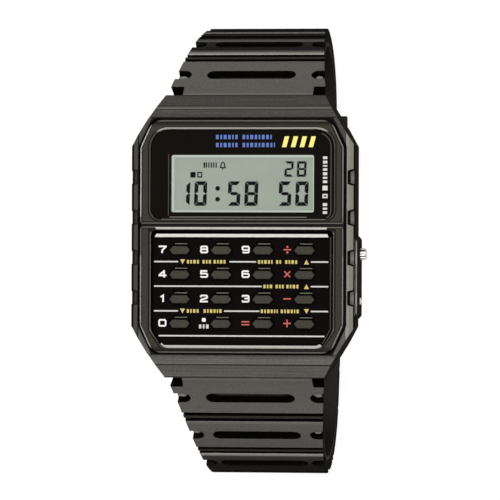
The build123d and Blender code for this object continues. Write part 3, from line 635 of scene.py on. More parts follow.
@dataclass(frozen=True)
class CaseResin:
    """The case's resin: streaked hoods with a ridge, side strips, and painted light and shade."""

    size: FrameSize = FrameSize()
    surface: Surface = Surface(0.42, edge=0.15, shine_from=0.7)
    grain: float = 0.24
    streak: float = 0.22
    streak_length: float = 60.0
    streak_share: float = 0.4
    # Painted light: the head hood is painted darker as shade than the foot hood.
    hood_head_shaded: Tone = Tone(74, 71, 67)
    hood_foot_lit: Tone = Tone(97, 94, 89)
    # Painted light: the right strip and its notch floors are painted paler as a sheen, the left
    # ones darker as shade.
    strip_left_shaded: Tone = Tone(76, 74, 69)
    strip_right_sheen: Tone = Tone(140, 136, 127)
    floor_left_shaded: Tone = Tone(66, 64, 60)
    floor_right_lit: Tone = Tone(146, 142, 133)
    # A painted highlight on the guard's top edge, and painted light on the right strip's inner
    # part.
    ledge_highlight: Tone = Tone(166, 162, 153)
    lit: Tone = Tone(165, 161, 152)
    # Painted shade: dark on upright faces; black on edges, in notches, round the frame and in
    # pockets.
    wall_shade: Tone = Tone(48, 45, 41)
    black: Tone = Tone(8, 7, 6)
    dark: Tone = Tone(46, 43, 39)
    hood_start: Step = (17.9, 0.1)
    hood_end: Step = (21.42, 0.08)
    hood_end_share: float = 0.8
    ridge: float = 19.55
    # Pale ridge lines are painted highlights, dark ones painted shade.
    ridge_light_lines: tuple[RidgeLine, ...] = (
        RidgeLine(0.0, 0.1, 0.8, 0.0, Tone(112, 108, 102)),
        RidgeLine(0.4, 0.07, 0.6, 0.0, Tone(46, 43, 39)),
        RidgeLine(-0.26, 0.08, 0.6, 0.0, Tone(46, 43, 39)),
        RidgeLine(0.05, 0.11, 0.0, 1.0, Tone(46, 43, 39)),
        RidgeLine(-0.2, 0.07, 0.0, 0.6, Tone(112, 108, 102)),
    )
    strip_start: Step = (15.9, 0.05)
    strip_inner_left: Step = (16.1, 0.06)
    strip_end: Step = (16.93, 0.06)
    strip_lean: float = 0.13
    lit_stop: Step = (16.28, 0.3)
    lit_share: float = 0.7
    guard_top: Step = (5.97, 0.04)
    guard_middle: float = -6.2
    guard_half: Step = (5.7, 0.6)
    ledge_highlight_line: Line = (17.27, 0.11)
    notch_inner: float = 16.24
    notch_first: float = -9.38
    notch_pitch: float = 6.12
    notch_half: float = 0.95
    notch_flare: float = 0.29
    notch_stop: float = 11.5
    notch_shade_border: Line = (0.0, 0.14)
    notch_open: float = 0.94
    # Painted shade: a black ring in the gap round the frame, black edges and dark upright faces.
    ring: Step = (0.42, 0.06)
    edge: float = 0.15
    edge_shade_share: float = 0.85
    steep_shade: Step = (0.42, 0.1)
    deep: float = 1.2
    open_enough: Step = (0.8, 0.36)

    def hoods(self, graph: Graph, far: Value, head: Value, speck: Value) -> Socket:
        """Colour of the two hoods, the head one painted darker as shade, with painted ridge lines.

        Args:
            graph: the material's graph.
            far: distance from the case's middle along Y.
            head: 1 at the twelve o'clock end and 0 at the other.
            speck: the resin's grain and streaks.

        Returns:
            The colour.
        """
        tone = graph.blend(head, self.hood_foot_lit, self.hood_head_shaded)
        tone = graph.scaled(tone, 0.55 + speck * 0.9)
        # Painted highlight and shade lines along the ridge.
        for line in self.ridge_light_lines:
            share = head * line.at_head + (1 - head) * line.at_foot
            share = far.near(self.ridge + line.offset, line.half) * share
            tone = graph.blend(share, tone, line.tone)
        return graph.blend(far.above(*self.hood_end) * self.hood_end_share, tone, self.dark)

    def from_notch(self, side: Value, far: Value, along: Value) -> Value:
        """Distance outwards from the nearest notch of a side strip.

        Args:
            side: distance from the case's middle along X.
            far: distance from the case's middle along Y.
            along: Y of the surface.

        Returns:
            The distance, less than 0 in a notch.
        """
        half = self.notch_half + (side - self.notch_inner) * self.notch_flare
        notch = along.from_nearest(self.notch_first, self.notch_pitch) - half
        return notch.most(self.notch_inner - side, far - self.notch_stop)

    def material(self) -> Material:
        """Builds the resin."""
        graph = Graph("case_resin_dressed")
        across, along, up = graph.axes()
        _, _, rise = graph.facing()
        far, side = along.size(), across.size()
        right = across.above(0, 1)
        left = 1 - right
        fine = graph.noise(self.grain, 3.0)
        lines = graph.noise(self.streak, 2.0, (self.streak_length, 1, 1)).above(0.5, 0.3)
        on_hood = far.above(*self.hood_start)
        on_side = side.above(*self.strip_start) * (1 - on_hood)
        speck = fine.above(0.5, 0.5) * (1 - on_hood * self.streak_share)
        speck = speck + lines * on_hood * self.streak_share
        hood = self.hoods(graph, far, along.above(0, 1), speck)

        # Notch outlines are painted shade.
        notch = self.from_notch(side, far, along)
        inside = on_side * (1 - notch.above(-0.04, 0.06))
        outline = on_side * notch.near(*self.notch_shade_border, 0.05)
        # A painted highlight on the guard's top edge; black borders at the strips' ends are painted
        # shade.
        by_guard = right * (1 - (along - self.guard_middle).size().above(*self.guard_half))
        ledge_highlight = by_guard * side.near(*self.ledge_highlight_line, 0.05)
        border = (side + left * self.strip_lean).above(*self.strip_end) * (1 - ledge_highlight)
        border = border.most((1 - side.above(*self.strip_inner_left)) * left)
        # Painted light: right strip and notch floors paler, left ones darker, the right strip's
        # inner part lighter still.
        strip = graph.blend(right, self.strip_left_shaded, self.strip_right_sheen)
        floor = graph.blend(right, self.floor_left_shaded, self.floor_right_lit)
        strip = graph.scaled(graph.blend(inside, strip, floor), 0.8 + fine * 0.4)
        lit = (1 - side.above(*self.lit_stop)) * right * self.lit_share
        strip = graph.blend(lit, strip, self.lit)
        strip = graph.blend((outline * (0.8 + right * 0.2)).most(border), strip, self.black)
        strip = graph.blend(ledge_highlight, strip, self.ledge_highlight)

        size = self.size
        base = graph.blend(on_side, hood, strip)
        # Painted shade: a black ring round the frame, black edges, and dark upright faces below the
        # guard.
        beside = size.past_corner(side, far).most(side - size.half_width, far - size.half_length)
        base = graph.blend(1 - beside.above(*self.ring), base, self.black)
        plain = 1 - inside.most(ledge_highlight)
        base = graph.blend(graph.edges(self.edge) * plain * self.edge_shade_share, base, self.black)
        low = (1 - up.above(*self.guard_top)) * on_side * plain
        base = graph.blend((1 - rise.above(*self.steep_shade)).most(low), base, self.wall_shade)
        # Painted shade in pockets, except in the notches and on the guard's top edge.
        air = graph.open_air(self.deep).above(*self.open_enough)
        air = air.most(inside * self.notch_open, ledge_highlight)
        colour = graph.blend(air, self.black, base)
        return self.surface.dress(graph, colour, fine, fine + lines * on_hood * 0.5)


@dataclass(frozen=True)
class FrameFinish:
    """Resin of the front frame, with painted highlights on its rims and painted shade in the steps.
    """

    size: FrameSize = FrameSize()
    surface: Surface = Surface(0.36, uneven=0.2, shine_from=0.8, shine_rough=0.4)
    grain: float = 0.18
    body: Tone = Tone(55, 52, 45)
    far_body: Tone = Tone(34, 31, 26)
    # Painted highlights on the rims of the windows.
    rim: Tone = Tone(92, 89, 81)
    rim_pad_highlight: Tone = Tone(118, 115, 107)
    rim_low_highlight: Tone = Tone(58, 55, 49)
    rim_head_highlight: Tone = Tone(158, 154, 145)
    # Painted highlights on the frame's outer edge, brightest on the left.
    edge_highlight_left: Tone = Tone(202, 199, 193)
    edge_highlight_right: Tone = Tone(126, 123, 115)
    edge_highlight_low: Tone = Tone(104, 101, 94)
    # step is painted shade: beside the rims and outer edge, in the groove, on upright faces and in
    # pockets.
    step: Tone = Tone(17, 14, 11)
    ends: Step = (16.9, 0.5)
    middle: Step = (3.0, 0.4)
    inner_step_shade: Line = (0.3, 0.11)
    outer_step_shade: Line = (0.31, 0.08)
    rim_highlight_line: Line = (0.03, 0.075)
    rim_head_highlight_line: Line = (0.13, 0.16)
    rim_low_top: Step = (0.3, 0.4)
    rimless: Line = (0.0, 0.5)
    rimless_from: Step = (16.5, 0.4)
    pad_shade_bar: Step = (0.6, 0.3)
    pad_shade_bar_width: Step = (0.25, 0.1)
    edge_middle: float = 0.07
    edge_half: float = 0.095
    edge_half_right: float = 0.115
    pad_corner: tuple[float, float, float] = (0.822, 0.569, 19.65)
    wall_shade: Step = (0.25, 0.1)
    deep: float = 0.7
    open_enough: Step = (0.7, 0.4)

    def from_outside(self, side: Value, far: Value, along: Value) -> Value:
        """Distance inwards from the nearest outer edge or edge of the dividing groove.

        Args:
            side: distance from the frame's middle along X.
            far: distance from the frame's middle along Y.
            along: Y of the surface.

        Returns:
            The distance.
        """
        size = self.size
        wider = size.left_proud / 2
        groove = (along - size.groove_middle).size() - size.groove / 2
        end = size.half_length - far + (1 - along.above(0, 1)) * size.foot_proud
        corner = 0 - size.past_corner(side, far, wider)
        return corner.least(size.half_width + wider - side, end, groove)

    def from_windows(self, side: Value, along: Value) -> tuple[Value, Value]:
        """Distances outwards from the two windows.

        Args:
            side: distance from the watch's middle along X.
            along: Y of the surface.

        Returns:
            The distances from the upper window and from the keypad's window.
        """
        size = self.size
        middle = (size.window_low + size.window_high) / 2
        reach = (size.window_high - size.window_low) / 2
        foot, head = size.window_foot_corner, size.window_head_corner
        radius = along.above(middle, 1.0) * (head - foot) + foot
        out_x = (side - size.window_half + radius).most(0.0)
        out_y = ((along - middle).size() - reach + radius).most(0.0)
        window = (out_x * out_x + out_y * out_y) ** 0.5 - radius
        x, y, away = self.pad_corner
        corner = side * x - along * y - away
        pad = corner.most(side - size.pad_half, along - size.pad_head, size.pad_foot - along)
        return window, pad

    def material(self) -> Material:
        """Builds the resin."""
        size = self.size
        graph = Graph("frame_resin_dressed")
        across, along, _ = graph.axes()
        _, _, rise = graph.facing()
        side, far = (across + size.left_proud / 2).size(), along.size()
        fine = graph.noise(self.grain, 3.0)
        window, pad = self.from_windows(across.size(), along)
        opening = window.least(pad)
        outside = self.from_outside(side, far, along)
        upper = along.above(size.groove_middle, 0.1)
        lower = 1 - upper
        right = across.above(0.0, 1.0)
        left = 1 - right
        ends = far.above(*self.ends)

        base = graph.blend(ends, self.body, self.far_body)
        base = graph.scaled(base, 0.7 + fine * 0.6)
        # Painted shade in the steps beside the rims and the outer edge.
        step = opening.near(*self.inner_step_shade)
        step = step.most(outside.near(*self.outer_step_shade) * (0.55 + upper * 0.3))
        base = graph.blend(step, base, self.step)

        # Painted highlights on the rims, strongest at the head.
        rimless = pad.near(*self.rimless) * far.above(*self.rimless_from)
        low, soft = self.rim_low_top
        by_bar = upper * (1 - along.above(size.window_low + low, soft))
        tone = graph.blend(by_bar, graph.blend(upper, self.rim_pad_highlight, self.rim), self.rim_low_highlight)
        base = graph.blend(opening.near(*self.rim_highlight_line) * (1 - rimless), base, tone)
        at_head = along.above(size.window_high - 0.3, 0.3)
        base = graph.blend(at_head * opening.near(*self.rim_head_highlight_line), base, self.rim_head_highlight)
        # Painted shade across the head of the keypad's window.
        bar = lower * along.above(*self.pad_shade_bar) * (1 - pad.above(*self.pad_shade_bar_width))
        base = graph.blend(bar, base, self.step)

        # Painted highlight on the outer edge.
        edge = graph.blend(left, self.edge_highlight_right, self.edge_highlight_left)
        edge = graph.blend(left * lower * 0.5, edge, self.edge_highlight_low)
        edge = graph.blend(ends.most(1 - far.above(*self.middle)), edge, self.edge_highlight_low)
        half = self.edge_half + right * (self.edge_half_right - self.edge_half)
        base = graph.blend(outside.near(self.edge_middle, half), base, edge)
        # Painted shade in the groove, on upright faces and in pockets.
        gap = (along - size.groove_middle).size()
        base = graph.blend(1 - gap.above(size.groove / 2 - 0.02, 0.06), base, self.step)
        base = graph.blend(1 - rise.above(*self.wall_shade), base, self.step)
        air = graph.open_air(self.deep).above(*self.open_enough)
        return self.surface.dress(graph, graph.blend(air, self.step, base), fine)


@dataclass(frozen=True)
class StrapResin:
    """Resin of the strap: painted highlights where a cell starts, and painted shade as it turns
    away and at its sides.

    head and foot give the grey, with its painted highlights and shade, at some heights of the
    buckle half and of the tail half.
    """

    surface: Surface = Surface(0.38, edge=0.2, shine_rough=0.46)
    grain: float = 0.26
    head: Levels = (
        (-26.0, 50), (-20.0, 36), (-17.4, 34), (-16.7, 130), (-15.9, 140), (-15.4, 20),
        (-12.9, 17), (-12.3, 84), (-11.6, 104), (-11.2, 50), (-8.4, 38), (-7.9, 74),
        (-7.3, 142), (-6.9, 188), (-6.3, 160), (-5.6, 104), (0.5, 104),
    )
    foot: Levels = (
        (-26.0, 52), (-22.0, 40), (-19.5, 34), (-17.4, 54), (-15.9, 66), (-15.4, 150),
        (-14.9, 180), (-13.4, 96), (-7.2, 102), (-6.6, 124), (-5.4, 106), (0.5, 104),
    )
    warmth: tuple[float, float, float] = (1.0, 0.97, 0.925)
    # Painted shade: black on edges, sideways faces and the notches by the hood; dark grey on the
    # flanks.
    black: Tone = Tone(9, 8, 7)
    side: Tone = Tone(44, 42, 38)
    hood_line: Tone = Tone(128, 124, 118)
    # A painted highlight along the flanks' inner edges.
    highlit_edge: Tone = Tone(108, 105, 98)
    middle: float = -18.0
    by_hood: Line = (21.9, 0.12)
    by_hood_share: float = 0.7
    near_hood: Step = (-6.0, 0.5)
    # Where the notches by the hood are painted black as shade.
    notch_stop: Step = (23.06, 0.06)
    notch_side: Step = (10.15, 0.06)
    # Faces turned from the loop's outside are painted black as shade.
    turned_away_shade: Step = (0.62, 0.2)
    flank: Step = (0.85, 0.2)
    inner_round: float = 1.0
    inner: Step = (0.26, 0.2)
    edge: float = 0.2
    deep: float = 1.6
    open_enough: Step = (0.8, 0.3)

    def outward(self, along: Value, up: Value, forth: Value, rise: Value) -> Value:
        """1 where a normal points straight out of the strap's loop, -1 where straight in."""
        over = up - self.middle
        return (forth * along + rise * over) / (along * along + over * over) ** 0.5

    def tones(self, levels: Levels) -> list[tuple[float, Tone]]:
        """The colours that go with a row of greys."""
        return [(level, Tone(*(grey * part for part in self.warmth))) for level, grey in levels]

    def material(self) -> Material:
        """Builds the resin."""
        graph = Graph("strap_resin_dressed")
        across, along, up = graph.axes()
        flank, forth, rise = graph.facing()
        fine = graph.noise(self.grain, 3.0)
        far = along.size()
        # The grey by height holds painted highlights where cells start and painted shade as the
        # strap turns away.
        foot = graph.levels(up, self.tones(self.foot))
        head = graph.levels(up, self.tones(self.head))
        base = graph.scaled(graph.blend(along.above(0, 1), foot, head), 0.55 + fine * 0.9)
        near_hood = up.above(*self.near_hood)
        by_hood = far.near(*self.by_hood) * near_hood * self.by_hood_share
        base = graph.blend(by_hood, base, self.hood_line)
        # Painted shade: dark grey flanks; black edges, sideways faces and notches by the hood.
        sides = flank.size().above(*self.flank)
        base = graph.blend(sides, base, self.side)
        notch = (1 - far.above(*self.notch_stop)) * across.size().above(*self.notch_side)
        steep_shade = 1 - self.outward(along, up, forth, rise).size().above(*self.turned_away_shade)
        dark = graph.edges(self.edge).most(steep_shade * (1 - sides), notch * near_hood)
        base = graph.blend(dark, base, self.black)
        # A painted highlight along the flanks' inner edges.
        _, forth, rise = graph.split(graph.softened(self.inner_round))
        highlit_edge = (0 - self.outward(along, up, forth, rise)).above(*self.inner)
        base = graph.blend(highlit_edge * sides, base, self.highlit_edge)
        # Painted shade in pockets and slots.
        air = graph.open_air(self.deep).above(*self.open_enough)
        return self.surface.dress(graph, graph.blend(air, self.black, base), fine)


@dataclass(frozen=True)
class Metal:
    """Bare or plated metal, with fine lines along one axis where it is brushed.

    rough is its middle roughness, brushed how many times longer its lines are along each axis,
    depth how deep they are in millimetres, and metal how metallic it is. line, cloud and smear
    are the sizes of its marks in millimetres.
    """

    name: str
    tone: Tone
    rough: float
    brushed: tuple[float, float, float] | None = None
    depth: float = 0.004
    metal: float = 1.0
    line: float = 0.12
    cloud: float = 3.0
    smear: float = 1.4

    def material(self) -> Material:
        """Builds the metal."""
        graph = Graph(self.name)
        if self.brushed is None:
            smear = graph.noise(self.smear, 3.0)
            return graph.dress(
                base_color=graph.blend(smear.above(0.5, 0.6), self.tone.scaled(0.96), self.tone),
                metallic=self.metal,
                roughness=smear * 0.1 + (self.rough - 0.05),
            )
        lines = graph.noise(self.line, 3.0, self.brushed)
        cloud = graph.noise(self.cloud, 2.0)
        low, high = self.tone.scaled(0.9), self.tone.scaled(1.06)
        return graph.dress(
            base_color=graph.blend(lines.above(0.5, 0.4), low, high),
            metallic=self.metal,
            roughness=lines * 0.22 + cloud * 0.1 + (self.rough - 0.16),
            normal=graph.bump(lines, self.depth),
        )


@dataclass(frozen=True)
class Ink:
    """Printed ink, which is a little uneven, in patches some tenths of a millimetre wide."""

    name: str
    tone: Tone
    rough: float = 0.45
    patch: float = 0.35
    mirror: float = 0.03

    def material(self) -> Material:
        """Builds the ink."""
        graph = Graph(self.name)
        patch = graph.noise(self.patch, 3.0)
        return graph.dress(
            base_color=graph.blend(patch.above(0.5, 0.5), self.tone.scaled(0.93), self.tone),
            roughness=patch * 0.1 + (self.rough - 0.05),
            specular_ior_level=self.mirror,
        )


@dataclass(frozen=True)
class Moulding:
    """Plain inner moulding, rubber or film, with flow marks.

    flow is the size of its flow marks and depth how deep they are, both in millimetres, stretch
    how many times longer a mark is along each axis, and metal how metallic it is.
    """

    name: str
    tone: Tone
    rough: float = 0.55
    flow: float = 1.2
    depth: float = 0.01
    metal: float = 0.0
    stretch: tuple[float, float, float] = (1, 2.5, 1)

    def material(self) -> Material:
        """Builds the moulding."""
        graph = Graph(self.name)
        marks = graph.noise(self.flow, 3.0, self.stretch)
        low, high = self.tone.scaled(0.9), self.tone.scaled(1.05)
        return graph.dress(
            base_color=graph.blend(marks.above(0.5, 0.5), low, high),
            roughness=marks * 0.15 + (self.rough - 0.08),
            metallic=self.metal,
            normal=graph.bump(marks, self.depth),
        )


@dataclass(frozen=True)
class BoardFinish:
    """Green circuit board with pale copper runs under its lacquer."""

    lacquer: Tone = Tone(40, 92, 54)
    run: Tone = Tone(92, 140, 82)
    pitch: float = 1.2
    slope: float = 0.35
    wander: float = 4.0
    wander_size: float = 6.0
    run_start: Step = (0.42, 0.1)
    rough: float = 0.35

    def material(self) -> Material:
        """Builds the board."""
        graph = Graph("board_dressed")
        across, along, _ = graph.axes()
        bend = graph.noise(self.wander_size, 1.0) * self.wander
        course = across + along * self.slope + bend
        runs = course.from_nearest(0.0, self.pitch).above(*self.run_start)
        return graph.dress(
            base_color=graph.blend(runs, self.lacquer, self.run), roughness=self.rough
        )


@dataclass(frozen=True)
class BlackGlass:
    """Glass backed with black print, flat, with a slight smear."""

    tone: Tone = Tone(17, 14, 10)
    smear: float = 5.0
    rough: float = 0.05
    mirror: float = 0.03

    def material(self) -> Material:
        """Builds the glass."""
        graph = Graph("window_black_print")
        smear = graph.noise(self.smear, 3.0)
        return graph.dress(
            base_color=graph.blend(smear.above(0.5, 0.5), self.tone.scaled(0.85), self.tone),
            roughness=smear * 0.06 + self.rough,
            specular_ior_level=self.mirror,
        )


@dataclass(frozen=True)
class ClearGlass:
    """Thin clear window: it lets the display through and mirrors a little."""

    mirror: float = 0.004
    rough: float = 0.06
    tint: tuple[float, float, float, float] = (0.97, 0.98, 0.97, 1)

    def material(self) -> Material:
        """Builds the window."""
        graph = Graph("window_clear")
        clear = graph.node("ShaderNodeBsdfTransparent", values={"Color": self.tint})
        shine = {"Color": (1, 1, 1, 1), "Roughness": self.rough}
        graph.mix_shaders(self.mirror, clear, graph.node("ShaderNodeBsdfGlossy", values=shine))
        graph.tree.nodes.remove(graph.shader)
        return graph.owner


@dataclass(frozen=True)
class CrystalFinish:
    """Face of the display: grey green, cloudy, and paler at its border."""

    left: Tone = Tone(155, 164, 152)
    right: Tone = Tone(152, 161, 150)
    rim: Tone = Tone(192, 199, 187)
    half_width: float = 10.97
    middle: float = 8.0
    half_height: float = 4.36
    border: float = 0.3
    border_soft: float = 0.12
    cloud: float = 2.5
    cloud_share: float = 0.12
    rough: float = 0.4
    mirror: float = 0.02

    def material(self) -> Material:
        """Builds the display's face."""
        graph = Graph("display_dressed")
        across, along, _ = graph.axes()
        share = (across + self.half_width) / (2 * self.half_width)
        cloud = graph.noise(self.cloud, 2.0).above(0.5, 0.6) * self.cloud_share
        face = graph.blend(cloud, graph.blend(share, self.left, self.right), self.rim)
        side, high = across.size(), (along - self.middle).size()
        off_x = 1 - side.above(self.half_width - self.border, self.border_soft)
        off_y = 1 - high.above(self.half_height - self.border, self.border_soft)
        return graph.dress(
            base_color=graph.blend(1 - off_x * off_y, face, self.rim),
            roughness=self.rough,
            specular_ior_level=self.mirror,
        )


def rounded(corners: Sequence[Corner], steps: int = 6) -> Outline:
    """Outline with rounded corners.

    Args:
        corners: x, y and radius of each corner, anticlockwise.
        steps: how many runs each rounded corner has.

    Returns:
        The outline's points.
    """
    points: Outline = []
    count = len(corners)
    for index, (x, y, radius) in enumerate(corners):
        here = Vector((x, y))
        before = (Vector(corners[index - 1][:2]) - here).normalized()
        after = (Vector(corners[(index + 1) % count][:2]) - here).normalized()
        if radius <= 0:
            points.append((x, y))
            continue
        half = before.angle(after) / 2
        reach = radius / math.tan(half)
        middle = here + (before + after).normalized() * (radius / math.sin(half))
        start, stop = here + before * reach - middle, here + after * reach - middle
        sweep = start.angle_signed(stop)
        for step in range(steps + 1):
            turned = start.copy()
            turned.rotate(Matrix.Rotation(-sweep * step / steps, 2))
            points.append(tuple(middle + turned))
    return points


def box_outline(left: float, right: float, low: float, high: float, radius: float = 0) -> Outline:
    """Rectangle, its corners rounded where a radius is given."""
    corners = ((left, low), (right, low), (right, high), (left, high))
    return rounded([(x, y, radius) for x, y in corners], 4)


def mirrored(right: Sequence[Corner], wider: float = 0.0) -> list[Corner]:
    """All corners from a right half's, from the foot up, with a left half that is wider."""
    left = [(-x - wider, y, radius) for x, y, radius in reversed(right)]
    return [left[-1], *right, *left[:-1]]


def inset(points: Outline, amount: float) -> Outline:
    """Draws an outline in.

    Args:
        points: the anticlockwise outline.
        amount: how far it is drawn in, or let out where it is less than 0.

    Returns:
        The new outline.
    """
    least = 0.3
    result: Outline = []
    count = len(points)
    for index in range(count):
        here = Vector(points[index])
        before = here - Vector(points[index - 1])
        after = Vector(points[(index + 1) % count]) - here
        first = Vector((-before.y, before.x)).normalized()
        second = Vector((-after.y, after.x)).normalized()
        middle = first + second
        if middle.length < 1e-9:
            middle = first
        middle.normalize()
        result.append(tuple(here + middle * (amount / max(least, middle.dot(first)))))
    return result


def wound(points: Outline) -> Outline:
    """Turns an outline to run anticlockwise.

    Args:
        points: the outline, either way round.

    Returns:
        The outline, anticlockwise.
    """
    pairs = zip(points, points[1:] + points[:1])
    area = sum(ax * by - bx * ay for (ax, ay), (bx, by) in pairs)
    return points[::-1] if area < 0 else points


def hexagon(width: float, height: float, point: float, up: float = 0.0) -> Outline:
    """Hexagon with a point to each side and its corners slightly rounded.

    Args:
        width: its size along X.
        height: its size along Y.
        point: how far each point reaches past the flat sides.
        up: how far its middle is moved along Y.

    Returns:
        The outline's points.
    """
    radius = 0.16
    x, y = width / 2, height / 2
    flat = x - point
    corners = [(-x, up), (-flat, up - y), (flat, up - y), (x, up), (flat, up + y), (-flat, up + y)]
    return rounded([(px, py, radius) for px, py in corners], 3)


class Shape:
    """A mesh in the making, in millimetres, that becomes one piece."""

    def __init__(self, name: str) -> None:
        """Starts an empty mesh."""
        self.name = name
        self.mesh = bmesh.new()

    def ring(self, points: Iterable[Sequence[float]]) -> Ring:
        """Adds one ring of points and gives its vertices."""
        return [self.mesh.verts.new(Vector(p) * MM) for p in points]

    def bridge(self, low: Ring, high: Ring, slot: int) -> None:
        """Joins two rings of as many points with a band of faces.

        Args:
            low: one ring.
            high: the other ring.
            slot: material index of the band.
        """
        for index in range(len(low)):
            after = (index + 1) % len(low)
            face = self.mesh.faces.new((low[index], low[after], high[after], high[index]))
            face.material_index = slot

    def cap(self, rings: list[Ring], slot: int) -> None:
        """Fills the face inside the first ring and outside the others.

        Args:
            rings: the outer ring, then the holes.
            slot: material index of the face.
        """
        if len(rings) == 1:
            self.mesh.faces.new(rings[0]).material_index = slot
            return
        sides = [pair for ring in rings for pair in zip(ring, ring[1:] + ring[:1])]
        edges = [self.mesh.edges.get(side) for side in sides]
        filled = bmesh.ops.triangle_fill(
            self.mesh, use_beauty=True, use_dissolve=False, edges=edges
        )
        for element in filled["geom"]:
            if isinstance(element, bmesh.types.BMFace):
                element.material_index = slot

    def plate(
        self,
        outline: Outline,
        low: float,
        high: float,
        holes: Sequence[Outline] = (),
        edge: float = 0.0,
        hole_edge: float = 0.0,
        slot: int = 0,
        edge_slot: int = 0,
        steps: int = 3,
    ) -> None:
        """Adds a plate with holes, its top edges rounded.

        Args:
            outline: its anticlockwise outline.
            low: height of its underside.
            high: height of its top.
            holes: anticlockwise outlines of its holes.
            edge: radius of its outer top edge.
            hole_edge: radius of the holes' top edges.
            slot: material index of the plate.
            edge_slot: material index of the rounded edges.
            steps: how many runs each rounded edge has.
        """
        feet, tops = [], []
        for index, points in enumerate([outline, *holes]):
            radius, sign = (edge, 1) if index == 0 else (hole_edge, -1)
            ring = self.ring([(x, y, low) for x, y in points])
            feet.append(ring)
            for step in range(steps + 1 if radius > 0 else 1):
                turn = math.pi / 2 * step / steps
                moved = points
                if radius > 0:
                    moved = inset(points, sign * radius * (1 - math.cos(turn)))
                level = high - max(radius, 0.0) * (1 - math.sin(turn))
                after = self.ring([(x, y, level) for x, y in moved])
                self.bridge(ring, after, slot if step == 0 else edge_slot)
                ring = after
            tops.append(ring)
        self.cap(feet, slot)
        self.cap(tops, slot)

    def disc(
        self, x: float, y: float, radius: float, low: float, high: float, slot: int = 0
    ) -> None:
        """Adds a short upright cylinder.

        Args:
            x: its middle along X.
            y: its middle along Y.
            radius: its radius.
            low: height of its underside.
            high: height of its top.
            slot: material index.
        """
        turns = [math.tau * step / 20 for step in range(20)]
        outline = [(x + radius * math.cos(t), y + radius * math.sin(t)) for t in turns]
        self.plate(outline, low, high, slot=slot)

    def bar(
        self, start: Point, stop: Point, width: float, low: float, high: float, slot: int = 0
    ) -> None:
        """Adds a straight bar with square ends.

        Args:
            start: the middle of one end.
            stop: the middle of the other end.
            width: its width.
            low: height of its underside.
            high: height of its top.
            slot: material index.
        """
        first, last = Vector(start), Vector(stop)
        along = (last - first).normalized()
        side = Vector((-along.y, along.x)) * width / 2
        corners = [first - side, last - side, last + side, first + side]
        self.plate([tuple(c) for c in corners], low, high, slot=slot)

    def stroke(
        self,
        points: Outline,
        width: float,
        low: float,
        high: float,
        closed: bool = False,
        slot: int = 0,
    ) -> None:
        """Adds a printed line of even width.

        Args:
            points: the line's middle.
            width: its width.
            low: height of its underside.
            high: height of its top.
            closed: whether its end meets its start.
            slot: material index.
        """
        half = width / 2
        if closed:
            loop = wound(points)
            self.plate(inset(loop, -half), low, high, holes=[inset(loop, half)], slot=slot)
            return
        left, right = [], []
        last = len(points) - 1
        for index, point in enumerate(points):
            here = Vector(point)
            before = (here - Vector(points[max(index - 1, 0)])).normalized()
            after = (Vector(points[min(index + 1, last)]) - here).normalized()
            along = before if index == last else after if index == 0 else before + after
            along.normalize()
            side = Vector((-along.y, along.x))
            near = before if index else after
            reach = half / max(0.5, side.dot(Vector((-near.y, near.x))))
            left.append(tuple(here + side * reach))
            right.append(tuple(here - side * reach))
        self.plate(wound(right + left[::-1]), low, high, slot=slot)

    def block_row(
        self,
        start: float,
        stop: float,
        middle: float,
        height: float,
        level: tuple[float, float],
        slot: int = 0,
        upright: bool = False,
    ) -> None:
        """Adds a row of small blocks of uneven width.

        Args:
            start: where the row starts.
            stop: where it stops.
            middle: its middle across.
            height: how tall its blocks are.
            level: heights of the blocks' underside and top.
            slot: material index.
            upright: whether the row runs along Y.
        """
        shares = (1.0, 0.72, 1.12, 0.9, 0.6, 1.05)
        width, gap, least = height * 0.62, height * 0.36, height * 0.248
        place, index = start, 0
        while place < stop - least:
            end = min(place + width * shares[index % len(shares)], stop)
            low, high = middle - height / 2, middle + height / 2
            corners = (low, high, place, end) if upright else (place, end, low, high)
            self.plate(box_outline(*corners), *level, slot=slot)
            place, index = end + gap, index + 1

    def piece(
        self, materials: Sequence[Material], body: Body | KeyName, sharp: float = 35.0
    ) -> bpy.types.Object:
        """Closes the mesh and makes the piece.

        Args:
            materials: its materials, by material index.
            body: the body it rides on.
            sharp: edges over this many degrees stay sharp.

        Returns:
            The piece.
        """
        bmesh.ops.recalc_face_normals(self.mesh, faces=self.mesh.faces)
        data = bpy.data.meshes.new(self.name)
        self.mesh.to_mesh(data)
        self.mesh.free()
        return place_piece(self.name, data, materials, body, sharp)


def place_piece(
    name: str,
    data: bpy.types.Mesh,
    materials: Sequence[Material],
    body: Body | KeyName,
    sharp: float,
) -> bpy.types.Object:
    """Links a mesh as a smooth shaded piece that rides on a body.

    Args:
        name: the piece's name.
        data: its mesh.
        materials: its materials, by material index.
        body: the body it rides on.
        sharp: edges over this many degrees stay sharp.

    Returns:
        The piece.
    """
    piece = bpy.data.objects.new(name, data)
    bpy.context.scene.collection.objects.link(piece)
    for material in materials:
        data.materials.append(material)
    data.polygons.foreach_set("use_smooth", [True] * len(data.polygons))
    data.set_sharp_from_angle(angle=math.radians(sharp))
    weighted = piece.modifiers.new("flat_faces", "WEIGHTED_NORMAL")
    weighted.keep_sharp = True
    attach(piece, body.value)
    log.info("piece %s on %s, %d faces", name, body.value, len(data.polygons))
    return piece


def dress(nodes: Nodes, material: Material, *names: str) -> None:
    """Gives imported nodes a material.

    Args:
        nodes: the frame's nodes.
        material: the material.
        names: the nodes that get it.
    """
    for name in names:
        data = nodes[name].data
        data.materials.clear()
        data.materials.append(material)
        log.info("node %s dressed with %s", name, material.name)


